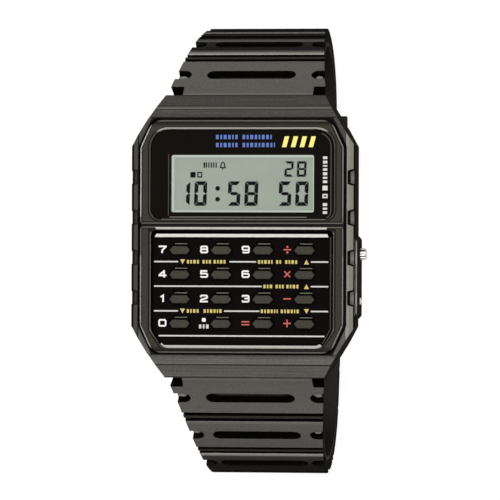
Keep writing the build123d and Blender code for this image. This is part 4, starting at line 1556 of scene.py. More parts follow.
@dataclass
class FrontFrame:
    """Raised frame round the two windows, with highlights painted on its rims, a groove and two
    stripes.
    """

    size: FrameSize = FrameSize()
    base: float = 6.9
    top: float = 8.2
    corner: float = 2.2
    seam_corner: float = 0.5
    groove_depth: float = 0.35
    base_inset: float = 0.04
    overlap: float = 0.02
    edge: float = 0.16
    rim: float = 0.18
    pad_foot_half: float = 12.2
    pad_corner_foot: float = -14.3
    pad_corner: float = 1.8
    pad_head_corner: float = 0.7
    # The black bed stands in for shade in the recess at the keypad's head.
    bed: Box = (-13.95, 13.95, -0.25, 0.74, 0.4)
    bed_base: float = 7.2
    bed_top: float = 7.62
    # The upper stripe is a painted highlight on the bar's bevel.
    upper_highlight: tuple[Point, ...] = ((-13.2, 1.02), (13.0, 1.02), (13.1, 1.36), (-13.3, 1.36))
    upper_highlight_level: tuple[float, float] = (-0.03, 0.02)
    upper_highlight_edge: float = 0.05
    lower_stripe: tuple[Point, ...] = ((-13.5, -0.17), (13.25, -0.17), (13.1, 0.36), (-13.2, 0.36))
    lower_level: tuple[float, float] = (-0.05, 0.3)
    lower_edge: float = 0.12

    def window(self) -> Outline:
        """Outline of the upper window."""
        size, x = self.size, self.size.window_half
        foot, head = size.window_foot_corner, size.window_head_corner
        return rounded(mirrored([(x, size.window_low, foot), (x, size.window_high, head)]))

    def pad(self) -> Outline:
        """Outline of the keypad window, which takes in the lower stripe."""
        x = self.size.pad_half
        right = [
            (self.pad_foot_half, self.size.pad_foot, self.pad_corner),
            (x, self.pad_corner_foot, self.pad_corner),
            (x, self.size.pad_head, self.pad_head_corner),
        ]
        return rounded(mirrored(right))

    def whole(self) -> Outline:
        """Outline of the whole frame."""
        size, x, y = self.size, self.size.half_width, self.size.half_length
        end, side = x - size.corner_across, y - size.corner_along
        right = [(end, -y), (x, -side), (x, side), (end, y)]
        return rounded(mirrored([(px, py, self.corner) for px, py in right]))

    def half(self, upper: bool, foot: float) -> Outline:
        """Outline of the frame's upper or lower part.

        Args:
            upper: whether it is the upper part.
            foot: distance from the watch's middle at which the part is cut off.

        Returns:
            The outline.
        """
        size, x, y = self.size, self.size.half_width, self.size.half_length
        right = [
            (x, foot, self.seam_corner),
            (x, y - size.corner_along, self.corner),
            (x - size.corner_across, y, self.corner),
        ]
        corners = mirrored(right, size.left_proud)
        if upper:
            return rounded(corners)
        grown = y + size.foot_proud
        return rounded([(px, -grown if py == y else -py, r) for px, py, r in reversed(corners)])

    def build(self) -> None:
        """Builds the frame and its stripes."""
        shape = Shape("front_frame_shell")
        seam = self.top - self.groove_depth
        holes = [self.window(), self.pad()]
        shape.plate(inset(self.whole(), self.base_inset), self.base, seam, holes=holes)
        middle, reach = self.size.groove_middle, self.size.groove / 2
        halves = (self.half(True, middle + reach), self.half(False, reach - middle))
        for outline, hole in zip(halves, holes):
            shape.plate(
                outline,
                seam - self.overlap,
                self.top,
                holes=[hole],
                edge=self.edge,
                hole_edge=self.rim,
            )
        shell = shape.piece([FrameFinish().material()], Body.CASE)
        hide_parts("front_frame")
        self.stripes()

    def stripes(self) -> None:
        """Builds the black bed at the keypad's head as painted shade, and two pale stripes, one a
        highlight.
        """
        shape = Shape("keypad_head_bed")
        shape.plate(box_outline(*self.bed), self.bed_base, self.bed_top)
        # The bed's black is painted shade.
        black = Resin("keypad_head_shade_black", Tone(5, 4, 3), 0.5, edge_highlight=1.0, gloss=0.0)
        bed = shape.piece([black.material()], Body.CASE)
        white = Ink("stripe_white", Tone(226, 223, 219)).material()
        # The grey is a painted highlight on the bar's bevel.
        grey = Ink("stripe_highlight_grey", Tone(198, 194, 190)).material()
        shape = Shape("frame_stripes")
        low, high = (self.top + level for level in self.upper_highlight_level)
        edge = self.upper_highlight_edge
        shape.plate([*self.upper_highlight], low, high, edge=edge, slot=1, edge_slot=1, steps=2)
        low, high = (self.bed_top + level for level in self.lower_level)
        shape.plate([*self.lower_stripe], low, high, edge=self.lower_edge)
        stripes = shape.piece([white, grey], Body.CASE)


class Print(Enum):
    """Colours on the window, in the order of their materials, two of them painted highlights."""

    BLUE = Ink("mark_blue", Tone(101, 124, 194))
    YELLOW = Ink("mark_yellow", Tone(255, 243, 134))
    WHITE = Ink("mark_white", Tone(222, 220, 214))
    # Painted highlights on the left side and the foot of the display's opening.
    SIDE_HIGHLIGHT = Ink("window_side_highlight", Tone(84, 81, 74))
    FOOT_HIGHLIGHT = Ink("window_foot_highlight", Tone(128, 124, 116))
    EDGE = Ink("window_edge", Tone(80, 77, 70))

    @property
    def slot(self) -> int:
        """Material index of the colour."""
        return list(Print).index(self)


@dataclass
class WindowGlass:
    """Window over the display: black printed glass with a clear opening and its markings."""

    base: float = 6.95
    top: float = 7.75
    play: float = 0.06
    opening: Box = (-10.97, 10.97, 3.64, 12.36, 0.3)
    pane_play: float = 0.01
    pane_up: float = 0.3
    print_gap: float = 0.002
    print_height: float = 0.012
    block_height: float = 0.66
    blue_rows: tuple[tuple[float, float, float], ...] = (
        (15.09, -4.08, -0.75), (15.09, 0.0, 4.5), (13.88, -4.08, -0.75), (13.88, 0.0, 4.98)
    )
    bar_count: int = 4
    bar_left: float = 6.05
    bar_pitch: float = 1.36
    bar_width: float = 0.68
    bar_lean: float = 0.44
    bar_low: float = 13.55
    bar_high: float = 15.2
    label_middle: float = 12.68
    labels: tuple[Point, ...] = ((8.1, 12.2), (3.42, 5.4))
    square: Box = (12.29, 13.06, 6.98, 7.7)
    open_square: Box = (12.29, 13.06, 5.8, 6.46)
    square_hole: Box = (12.5, 12.86, 6.0, 6.26)
    # Painted highlights on the opening's left side and lower bevel.
    side_highlight_line: Box = (-11.42, -11.32, 3.1, 12.5, 0.04)
    foot_highlight_line: Box = (-11.2, 9.9, 2.84, 2.96, 0.05)
    edge_middle: Point = (11.4, 13.6)
    edge_radius: float = 2.18
    edge_foot: tuple[Point, ...] = ((13.58, 3.9), (13.5, 3.35), (13.22, 2.95), (12.8, 2.8))
    edge_width: float = 0.15

    def build(self, outline: Outline) -> None:
        """Builds the glass and its markings.

        Args:
            outline: outline of the frame's window.
        """
        opening = box_outline(*self.opening)
        shape = Shape("window_mask")
        shape.plate(inset(outline, self.play), self.base, self.top, holes=[opening])
        mask = shape.piece([BlackGlass().material()], Body.CASE)
        mask.visible_shadow = False
        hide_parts("display_glass")
        shape = Shape("window_pane")
        low, high = self.base + self.pane_up, self.top - self.pane_play
        shape.plate(inset(opening, self.pane_play), low, high)
        pane = shape.piece([ClearGlass().material()], Body.CASE)
        pane.visible_shadow = False
        self.markings()

    def markings(self) -> None:
        """Builds the printed bars, marks and squares round the display, and its painted highlights.
        """
        level = (self.top + self.print_gap, self.top + self.print_height)
        height = self.block_height
        shape = Shape("window_markings")
        for middle, start, stop in self.blue_rows:
            shape.block_row(start, stop, middle, height, level, Print.BLUE.slot)
        for index in range(self.bar_count):
            left = self.bar_left + index * self.bar_pitch
            right = left + self.bar_width
            foot = [(left, self.bar_low), (right, self.bar_low)]
            head = [(x + self.bar_lean, self.bar_high) for x in (right, left)]
            shape.plate(foot + head, *level, slot=Print.YELLOW.slot)
        white = Print.WHITE.slot
        for start, stop in self.labels:
            shape.block_row(start, stop, self.label_middle, height, level, white, upright=True)
        shape.plate(box_outline(*self.square), *level, slot=white)
        hole = box_outline(*self.square_hole)
        shape.plate(box_outline(*self.open_square), *level, holes=[hole], slot=white)
        # Painted highlights on the opening's left side and lower bevel.
        shape.plate(box_outline(*self.side_highlight_line), *level, slot=Print.SIDE_HIGHLIGHT.slot)
        shape.plate(box_outline(*self.foot_highlight_line), *level, slot=Print.FOOT_HIGHLIGHT.slot)
        (x, y), radius = self.edge_middle, self.edge_radius
        turns = (math.radians(angle) for angle in range(20, 91, 10))
        line = [(x + radius * math.sin(turn), y + radius * math.cos(turn)) for turn in turns]
        line += self.edge_foot
        shape.stroke(line, self.edge_width, *level, slot=Print.EDGE.slot)
        marks = shape.piece([colour.value.material() for colour in Print], Body.CASE)


class Segment(Enum):
    """Segments of a seven segment figure, by their usual letters."""

    A = "a"
    B = "b"
    C = "c"
    D = "d"
    E = "e"
    F = "f"
    G = "g"


SEGMENTS: dict[str, str] = {"0": "abcdef", "1": "bc", "2": "abdeg", "5": "acdfg", "8": "abcdefg"}


@dataclass(frozen=True)
class FigureRow:
    """A row of seven segment figures.

    low and high are its foot and top, stroke is how wide a segment is, and figures gives each
    figure with its left and right sides.
    """

    low: float
    high: float
    stroke: float
    figures: tuple[tuple[str, float, float], ...]


@dataclass
class Display:
    """Figures and signs of the liquid crystal display."""

    level: float = 6.452
    height: float = 0.03
    slant: float = 0.035
    gap_share: float = 0.03
    cut_share: float = 0.12
    bar_share: float = 0.85
    notch_share: float = 0.8
    rows: tuple[FigureRow, ...] = (
        FigureRow(4.65, 8.37, 0.57, (
            ("1", -10.2, -8.25), ("0", -7.57, -5.65), ("5", -2.39, -0.48), ("8", 0.17, 2.23),
            ("5", 5.43, 7.34), ("0", 8.0, 9.95),
        )),
        FigureRow(9.08, 11.44, 0.36, (("2", 6.31, 7.66), ("8", 8.2, 9.65))),
    )
    colon_across: float = -3.98
    colon_heights: Point = (7.3, 5.65)
    colon_radius: float = 0.36
    square: Box = (-8.2, -7.4, 8.95, 9.8, 0.1)
    open_square: Box = (-7.15, -6.35, 8.95, 9.8, 0.1)
    square_hole: Box = (-6.97, -6.53, 9.14, 9.61)
    chime_left: float = -6.17
    chime_pitch: float = 0.37
    chime_widths: tuple[float, ...] = (0.26, 0.18, 0.18, 0.18, 0.18, 0.18)
    chime_low: float = 10.46
    chime_high: float = 11.26
    bell_place: Point = (-3.2, 10.4)
    bell_side: tuple[Point, ...] = ((0.52, 0), (0.4, 0.2), (0.34, 0.62), (0.2, 0.88), (0, 0.98))
    bell_hollow: tuple[float, float, float] = (0.5, 0.16, 0.66)
    clapper: float = 0.12

    @property
    def levels(self) -> tuple[float, float]:
        """Heights of the figures' underside and top."""
        return self.level, self.level + self.height

    def figure(self, shape: Shape, text: str, left: float, right: float, row: FigureRow) -> None:
        """Adds one seven segment figure.

        Args:
            shape: the mesh it goes into.
            text: the figure.
            left: its left side.
            right: its right side.
            row: the row it stands in.
        """
        low, high, far = row.low, row.high, row.stroke
        middle, point = (low + high) / 2, far / 2
        gap, cut = far * self.gap_share, far * self.cut_share
        bar, notch = point * self.bar_share, point * self.notch_share
        outer_left, outer_right = left + gap + cut, right - gap - cut
        inner_left, inner_right = left + far + gap, right - far - gap
        inner = left + far
        flat = {
            Segment.A: [(outer_left, high), (outer_right, high), (inner_right, high - far),
                        (inner_left, high - far)],
            Segment.G: [(left + point + gap, middle), (inner_left, middle + bar),
                        (inner_right, middle + bar), (right - point - gap, middle),
                        (inner_right, middle - bar), (inner_left, middle - bar)],
            Segment.F: [(left, high - gap - cut), (inner, high - far - gap),
                        (inner, middle + point + gap), (left + notch, middle + gap),
                        (left, middle + cut + gap)],
        }
        flat[Segment.D] = [(x, low + high - y) for x, y in flat[Segment.A]]
        flat[Segment.E] = [(x, low + high - y) for x, y in flat[Segment.F]]
        flat[Segment.B] = [(left + right - x, y) for x, y in flat[Segment.F]]
        flat[Segment.C] = [(left + right - x, y) for x, y in flat[Segment.E]]
        for segment, points in flat.items():
            if segment.value in SEGMENTS[text]:
                sheared = [(x + (y - middle) * self.slant, y) for x, y in points]
                shape.plate(wound(sheared), *self.levels)

    def build(self, nodes: Nodes) -> None:
        """Builds the figures and signs, and dresses the display.

        Args:
            nodes: the frame's nodes.
        """
        dress(nodes, CrystalFinish().material(), "lcd_panel")
        shape = Shape("display_figures")
        for row in self.rows:
            for text, left, right in row.figures:
                self.figure(shape, text, left, right, row)
        for up in self.colon_heights:
            shape.disc(self.colon_across, up, self.colon_radius, *self.levels)
        self.chime_bars(shape)
        self.bell(shape)
        shape.plate(box_outline(*self.square), *self.levels)
        hole = box_outline(*self.square_hole)
        shape.plate(box_outline(*self.open_square), *self.levels, holes=[hole])
        black = Ink("display_black", Tone(2, 3, 2), 0.6)
        figures = shape.piece([black.material()], Body.CASE)

    def chime_bars(self, shape: Shape) -> None:
        """Adds the row of small upright bars.

        Args:
            shape: the mesh they go into.
        """
        for index, width in enumerate(self.chime_widths):
            left = self.chime_left + index * self.chime_pitch
            bar = box_outline(left, left + width, self.chime_low, self.chime_high)
            shape.plate(bar, *self.levels)

    def bell(self, shape: Shape) -> None:
        """Adds the bell sign.

        Args:
            shape: the mesh it goes into.
        """
        (x, low), (wide, up, tall) = self.bell_place, self.bell_hollow
        right = [(x + dx, low + dy) for dx, dy in self.bell_side]
        left = [(x - dx, low + dy) for dx, dy in self.bell_side[-2::-1]]
        outline = right + left
        inner = [(x + (px - x) * wide, low + up + (py - low) * tall) for px, py in outline]
        shape.plate(outline, *self.levels, holes=[inner])
        shape.disc(x, low - self.clapper, self.clapper, *self.levels)


FIGURE_LINES: dict[str, tuple[Outline, ...]] = {
    "0": ([(0, 0.16), (0.13, 0), (0.87, 0), (1, 0.16), (1, 0.84), (0.87, 1), (0.13, 1), (0, 0.84),
           (0, 0.16)],),
    "1": ([(0.22, 0.72), (0.6, 1.0), (0.6, -0.1)],),
    "2": ([(0, 0.72), (0.02, 0.88), (0.13, 1), (0.87, 1), (1, 0.86), (1, 0.68), (0.86, 0.55),
           (0.14, 0.34), (0.02, 0.22), (0, 0), (1.1, 0)],),
    "3": ([(0, 0.8), (0.1, 1), (0.87, 1), (0.98, 0.88), (0.98, 0.66), (0.86, 0.54), (0.34, 0.54)],
          [(0.82, 0.54), (1, 0.4), (1, 0.13), (0.88, 0), (0.1, 0), (-0.02, 0.2)]),
    "4": ([(0.74, -0.12), (0.74, 1.12)], [(0.74, 0.98), (0, 0.3)], [(-0.12, 0.24), (1.1, 0.24)]),
    "5": ([(1.0, 1), (0.05, 1), (0.03, 0.58), (0.86, 0.58), (1, 0.46), (1, 0.13), (0.88, 0),
           (0.1, 0), (-0.02, 0.18)],),
    "6": ([(0.94, 0.84), (0.84, 1), (0.14, 1), (0, 0.86), (0, 0.14), (0.13, 0), (0.87, 0),
           (1, 0.13), (1, 0.42), (0.87, 0.56), (0.1, 0.56)],),
    "7": ([(-0.12, 1), (1.12, 1)], [(1.0, 0.96), (0.44, 0.36), (0.4, -0.12)]),
    "8": ([(0.14, 0.54), (0.86, 0.54), (0.96, 0.66), (0.96, 0.88), (0.86, 1), (0.14, 1),
           (0.04, 0.88), (0.04, 0.66), (0.14, 0.54)],
          [(0, 0.13), (0.13, 0), (0.87, 0), (1, 0.13), (1, 0.42), (0.87, 0.54), (0.13, 0.54),
           (0, 0.42), (0, 0.13)]),
    "9": ([(0.06, 0.16), (0.16, 0), (0.86, 0), (1, 0.14), (1, 0.86), (0.87, 1), (0.13, 1),
           (0, 0.87), (0, 0.58), (0.13, 0.44), (0.9, 0.44)],),
}
SIGN_LINES: dict[str, tuple[tuple[Point, Point], ...]] = {
    "/": (((-0.58, 0), (0.58, 0)),),
    "x": (((-0.44, -0.44), (0.44, 0.44)), ((-0.44, 0.44), (0.44, -0.44))),
    "-": (((-0.58, 0), (0.58, 0)),),
    "=": (((-0.6, 0.22), (0.6, 0.22)), ((-0.6, -0.22), (0.6, -0.22))),
    "+": (((-0.58, 0), (0.58, 0)), ((0, -0.58), (0, 0.58))),
}


@dataclass
class Keypad:
    """Printed keypad panel with its sixteen keys, figures, signs, rules and small arrows."""

    columns: tuple[float, ...] = (-9.585, -3.195, 3.195, 9.585)
    rows: tuple[float, ...] = (-1.9, -5.63, -9.37, -13.1)
    key_width: float = 3.3
    key_height: float = 1.74
    key_point: float = 0.55
    key_top: float = 8.0
    key_foot: float = 6.1
    skirt_top: float = 7.68
    skirt_edge: float = 0.1
    face_height: float = 1.28
    face_narrow: float = 0.06
    face_drop: float = 0.24
    face_edge: float = 0.17
    face_sunk: float = 0.05
    # The lip is painted pale as a highlight on each key's top edge.
    lip: Box = (-0.7, 1.22, 0.66, 0.81, 0.06)
    lip_drop: float = 0.06
    lip_edge: float = 0.04
    legends: tuple[str, ...] = ("789/", "456x", "123-", "0.=+")
    legend_shift: float = 2.66
    legend_drop: float = 0.13
    legend_width: float = 1.24
    legend_height: float = 1.16
    legend_line: float = 0.25
    sign_line: float = 0.2
    dot_up: float = 0.42
    dot_radius: float = 0.17
    point_half: float = 0.3
    point_low: float = 0.2
    point_high: float = 0.76
    point_corner: float = 0.14
    panel_top: float = 7.6
    print_gap: float = 0.002
    print_height: float = 0.012
    print_over: float = 0.001
    rule_width: float = 0.22
    rules: tuple[tuple[float, tuple[Point, ...]], ...] = (
        (-3.89, ((-13.55, -9.85), (-1.95, 2.15), (10.55, 13.2))),
        (-7.63, ((-13.55, 3.0), (10.55, 13.2))),
        (-11.4, ((-13.55, -9.85), (-2.75, 2.65), (10.55, 13.2))),
        (-15.18, ((-12.8, 12.65),)),
    )
    arrow_half: float = 0.38
    arrow_reach: float = 0.36
    arrows_down: tuple[Point, ...] = ((-9.17, -3.9), (-9.15, -11.4), (9.9, -11.4))
    arrows_up: tuple[Point, ...] = ((9.87, -3.9), (9.88, -7.63))
    block_height: float = 0.54
    yellow_rows: tuple[tuple[float, tuple[Point, ...]], ...] = (
        (-3.9, ((-8.49, -6.5), (-6.1, -4.8), (-4.4, -2.33))),
        (-3.9, ((2.43, 4.85), (5.2, 6.2), (6.6, 8.72))),
        (-7.63, ((3.28, 4.7), (5.15, 6.4), (6.8, 8.72))),
        (-11.4, ((-8.49, -6.35), (-5.9, -3.1))),
        (-11.4, ((2.89, 5.5), (5.95, 8.72))),
    )
    white_row: tuple[float, float, float, float] = (-6.6, -5.1, -13.75, 0.6)
    # A painted highlight along the keypad window's foot with a painted glint at its end, and one
    # down its right side.
    foot_highlight: tuple[Point, ...] = (
        (-12.5, -16.44), (-12.25, -16.7), (-11.9, -16.84), (11.3, -16.84), (11.7, -16.76),
        (12.0, -16.56),
    )
    foot_highlight_width: float = 0.44
    foot_highlight_height: float = 0.16
    foot_glint: tuple[float, float, float, float] = (11.98, -16.7, 0.27, 0.2)
    pad_side_highlight: tuple[Point, ...] = ((13.56, -0.1), (13.56, -14.1), (12.35, -16.3))
    pad_side_highlight_width: float = 0.15
    pad_side_highlight_height: float = 0.05

    @property
    def print_level(self) -> tuple[float, float]:
        """Heights of the print's underside and top."""
        return self.panel_top + self.print_gap, self.panel_top + self.print_height

    def build(self, nodes: Nodes) -> None:
        """Builds the print, the painted highlights and the keys, and dresses the panel.

        Args:
            nodes: the frame's nodes.
        """
        black = Tone(13, 9, 8)
        panel = Resin("panel_black_dressed", black, 0.5, 0.2, 0.004, deep=0.8, edge_highlight=1.6, gloss=0.02)
        dress(nodes, panel.material(), "keypad_panel")
        self.print_rules()
        self.paint_foot_highlight()
        self.print_legends()
        face = Resin(
            "key_resin_face",
            Tone(62, 59, 51),
            rough=0.42,
            grain=0.14,
            depth=0.008,
            edge=0.12,
            edge_highlight=1.4,
            deep=0.4,
            gloss=0.12,
        )
        # The skirt's near black is painted shade round each key's face; the lip's pale grey is a
        # painted highlight.
        skirt = Resin("key_skirt_shade", Tone(15, 13, 11), 0.5, 0.14, 0.006, edge_highlight=1.0, gloss=0.02)
        lip = Resin(
            "key_lip_highlight", Tone(112, 109, 101), 0.42, 0.12, 0.004, edge_highlight=1.0, deep=0.3, gloss=0.1
        )
        finishes = [resin.material() for resin in (face, skirt, lip)]
        places = ((row, column) for row in self.rows for column in self.columns)
        for key, (row, column) in zip(KeyName, places):
            self.key(key, column, row, finishes)

    def key(self, key: KeyName, x: float, y: float, finishes: Sequence[Material]) -> None:
        """Builds one key: a low skirt in painted shade, a raised face and a thin lip of painted
        highlight.

        Args:
            key: which key it is.
            x: its middle along X.
            y: its middle along Y.
            finishes: resin of the face, the skirt's painted shade and the lip's painted highlight.
        """
        shape = Shape(f"{key.value}_cap")
        width, point = self.key_width, self.key_point
        skirt = hexagon(width, self.key_height, point)
        face = hexagon(width - self.face_narrow, self.face_height, point, -self.face_drop)
        skirt, face, lip = (
            [(px + x, py + y) for px, py in points]
            for points in (skirt, face, box_outline(*self.lip))
        )
        foot, top = self.skirt_top - self.face_sunk, self.key_top
        edge = self.skirt_edge
        shape.plate(skirt, self.key_foot, self.skirt_top, edge=edge, slot=1, edge_slot=1)
        shape.plate(face, foot, top, edge=self.face_edge, steps=4)
        top -= self.lip_drop
        shape.plate(lip, foot, top, edge=self.lip_edge, slot=2, edge_slot=2, steps=2)
        cap = shape.piece(finishes, key)
        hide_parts(key.value)

    def print_rules(self) -> None:
        """Builds the white rules, the yellow arrows and the yellow marks between them."""
        white, yellow = 0, 1
        level = self.print_level
        half = self.rule_width / 2
        shape = Shape("keypad_rules")
        for y, spans in self.rules:
            for start, stop in spans:
                shape.plate(box_outline(start, stop, y - half, y + half), *level, slot=white)
        reach = self.arrow_reach
        for arrows, tip in ((self.arrows_down, -reach), (self.arrows_up, reach)):
            for x, y in arrows:
                left, right = x - self.arrow_half, x + self.arrow_half
                arrow = wound([(left, y - tip), (x, y + tip), (right, y - tip)])
                shape.plate(arrow, *level, slot=yellow)
        shape.block_row(*self.white_row, level, white)
        for y, spans in self.yellow_rows:
            for start, stop in spans:
                shape.block_row(start, stop, y, self.block_height, level, yellow)
        inks = (Ink("print_white", Tone(216, 213, 208)), Ink("print_yellow", Tone(214, 198, 120)))
        shape.piece([ink.material() for ink in inks], Body.CASE)

    def paint_foot_highlight(self) -> None:
        """Builds the painted highlight along the keypad's foot, with a glint, and one down its
        right side.
        """
        low = self.panel_top
        shape = Shape("keypad_foot_highlight")
        width, high = self.foot_highlight_width, low + self.foot_highlight_height
        shape.stroke([*self.foot_highlight], width, low, high)
        # A painted glint at the right end.
        x, y, radius, height = self.foot_glint
        shape.disc(x, y, radius, low, low + height)
        shape.stroke([*self.pad_side_highlight], self.pad_side_highlight_width, low, low + self.pad_side_highlight_height, slot=1)
        # Pale and grey inks stand in for the highlights.
        inks = (Ink("foot_highlight_white", Tone(194, 190, 184)), Ink("panel_side_highlight", Tone(70, 67, 60)))
        foot = shape.piece([ink.material() for ink in inks], Body.CASE)

    def print_legends(self) -> None:
        """Builds the figures and signs beside the keys."""
        shape = Shape("keypad_figures")
        for row, text in zip(self.rows, self.legends):
            for column, sign in zip(self.columns, text):
                x, y = column - self.legend_shift, row - self.legend_drop
                if sign.isdigit():
                    self.figure(shape, sign, x, y)
                elif sign == ".":
                    side = (x - self.point_half, x + self.point_half)
                    point = (*side, y + self.point_low, y + self.point_high, self.point_corner)
                    shape.plate(box_outline(*point), *self.print_level)
                else:
                    self.sign(shape, sign, x, y)
        inks = (Ink("figure_white", Tone(246, 245, 241)), Ink("sign_red", Tone(206, 104, 96)))
        shape.piece([ink.material() for ink in inks], Body.CASE)

    def sign(self, shape: Shape, sign: str, x: float, y: float) -> None:
        """Adds one red sign; where two of its bars cross, the second lies a little higher.

        Args:
            shape: the mesh it goes into.
            sign: the sign.
            x: its middle along X.
            y: its middle along Y.
        """
        low, high = self.print_level
        for (ax, ay), (bx, by) in SIGN_LINES[sign]:
            shape.bar((x + ax, y + ay), (x + bx, y + by), self.sign_line, low, high, 1)
            if sign in "x+":
                low, high = low + self.print_over, high + 2 * self.print_over
        if sign == "/":
            for dot in (self.dot_up, -self.dot_up):
                shape.disc(x, y + dot, self.dot_radius, low, high, 1)

    def figure(self, shape: Shape, sign: str, x: float, y: float) -> None:
        """Adds one wide printed figure, whose lines are closed where they end as they start.

        Args:
            shape: the mesh it goes into.
            sign: the figure.
            x: its middle along X.
            y: its middle along Y.
        """
        low, high = self.print_level
        wide = self.legend_width - self.legend_line
        tall = self.legend_height - self.legend_line
        for index, line in enumerate(FIGURE_LINES[sign]):
            points = [(x + (px - 0.5) * wide, y + (py - 0.5) * tall) for px, py in line]
            closed, over = line[0] == line[-1], index * self.print_over
            points = points[:-1] if closed else points
            shape.stroke(points, self.legend_line, low, high + over, closed)


@dataclass
class Strap:
    """The two resin halves with softened edges in painted shade, pale ribs, and knob tops painted
    as highlights.

    A face is a rib's top where it lies between two outward edges longer than rib_length and is
    smaller than rib_most, and a knob's top where its size is between knob_least and knob_most
    and it lies further out than knob_side. The left flank stands out by the share flare, from
    flare_head to flare_foot along Y, and fades over flare_length.
    """

    edge: float = 0.15
    edge_turn: float = 32.0
    weld: float = 0.001
    flat_turn: float = 0.6
    rib_length: float = 10.0
    rib_most: float = 18.0
    knob_least: float = 0.9
    knob_most: float = 1.0
    knob_corners: int = 9
    knob_side: float = 9.3
    flare: float = 0.027
    flare_side: float = 10.6
    flare_head: float = 22.3
    flare_foot: float = 29.0
    flare_length: float = 5.5

    def build(self, nodes: Nodes) -> None:
        """Builds the softened halves and dresses the keepers.

        Args:
            nodes: the frame's nodes.
        """
        rib = Tone(58, 55, 49)
        resins = (
            StrapResin(),
            Resin("strap_resin_rib", rib, 0.5, deep=0.4, edge_highlight=1.0, side=0.1, gloss=0.05),
            # Painted shade on the softened edges; the knobs' tops are painted pale as highlights.
            Resin("strap_edge_shade", Tone(15, 13, 11), 0.5, edge_highlight=1.0, gloss=0.0),
            Resin("strap_knob_highlight", Tone(142, 139, 131), 0.42, edge_highlight=1.0, deep=0.2, gloss=0.1),
        )
        finishes = [resin.material() for resin in resins]
        for node, body in (
            ("strap_buckle_half", Body.BUCKLE_HALF), ("strap_tail_half", Body.TAIL_HALF)
        ):
            half = self.softened(nodes[node], f"{node}_resin", finishes, body)
            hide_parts(node)
        keeper = Tone(58, 55, 51)
        resin = Resin("keeper_resin_dressed", keeper, 0.46, edge=0.24, edge_highlight=1.5, gloss=0.12)
        dress(nodes, resin.material(), "keeper_fixed", "keeper_loose")

    def slot_of(self, face: bmesh.types.BMFace) -> int:
        """The finish of one face of a half.

        Args:
            face: the face.

        Returns:
            1 for a rib's top, 3 for a knob's top, else 0.
        """
        long = [edge for edge in face.edges if edge.calc_length() / MM > self.rib_length]
        size = face.calc_area() / MM**2
        outward = all(edge.calc_face_angle_signed(0.0) > 1.0 for edge in long)
        if len(long) == 2 and outward and size < self.rib_most:
            return 1
        aside = abs(face.calc_center_median().x) / MM > self.knob_side
        round_top = len(face.verts) > self.knob_corners
        if round_top and self.knob_least < size < self.knob_most and aside:
            return 3
        return 0

    def softened(
        self, node: bpy.types.Object, name: str, materials: Sequence[Material], body: Body
    ) -> bpy.types.Object:
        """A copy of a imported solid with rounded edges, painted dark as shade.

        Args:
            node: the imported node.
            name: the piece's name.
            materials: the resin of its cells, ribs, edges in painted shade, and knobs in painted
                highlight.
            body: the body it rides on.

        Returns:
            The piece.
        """
        mesh = bmesh.new()
        mesh.from_mesh(node.data)
        bmesh.ops.remove_doubles(mesh, verts=mesh.verts, dist=self.weld * MM)
        turn = math.radians(self.flat_turn)
        bmesh.ops.dissolve_limit(mesh, angle_limit=turn, verts=mesh.verts, edges=mesh.edges)
        for face in mesh.faces:
            face.material_index = self.slot_of(face)
        for vert in mesh.verts:
            x, far = vert.co.x / MM, abs(vert.co.y) / MM
            if x < -self.flare_side and self.flare_head < far < self.flare_foot:
                fade = min(1.0, (self.flare_foot - far) / self.flare_length)
                vert.co.x *= 1 + self.flare * fade
        data = bpy.data.meshes.new(name)
        mesh.to_mesh(data)
        mesh.free()
        piece = place_piece(name, data, materials, body, 30)
        bevel = piece.modifiers.new("soft_edges", "BEVEL")
        bevel.width = self.edge * MM
        bevel.segments = 2
        bevel.limit_method = "ANGLE"
        bevel.angle_limit = math.radians(self.edge_turn)
        bevel.use_clamp_overlap = True
        bevel.harden_normals = False
        bevel.material = 2
        piece.modifiers.move(1, 0)
        return piece


@dataclass(frozen=True)
class Button:
    """A turned side button.

    name is its piece and node what that replaces. along is its axis's place along Y, and profile
    gives x, radius and the share of the flutes at each station from its stem to its nose.
    """

    name: str
    node: str
    body: Body
    along: float
    profile: tuple[tuple[float, float, float], ...]


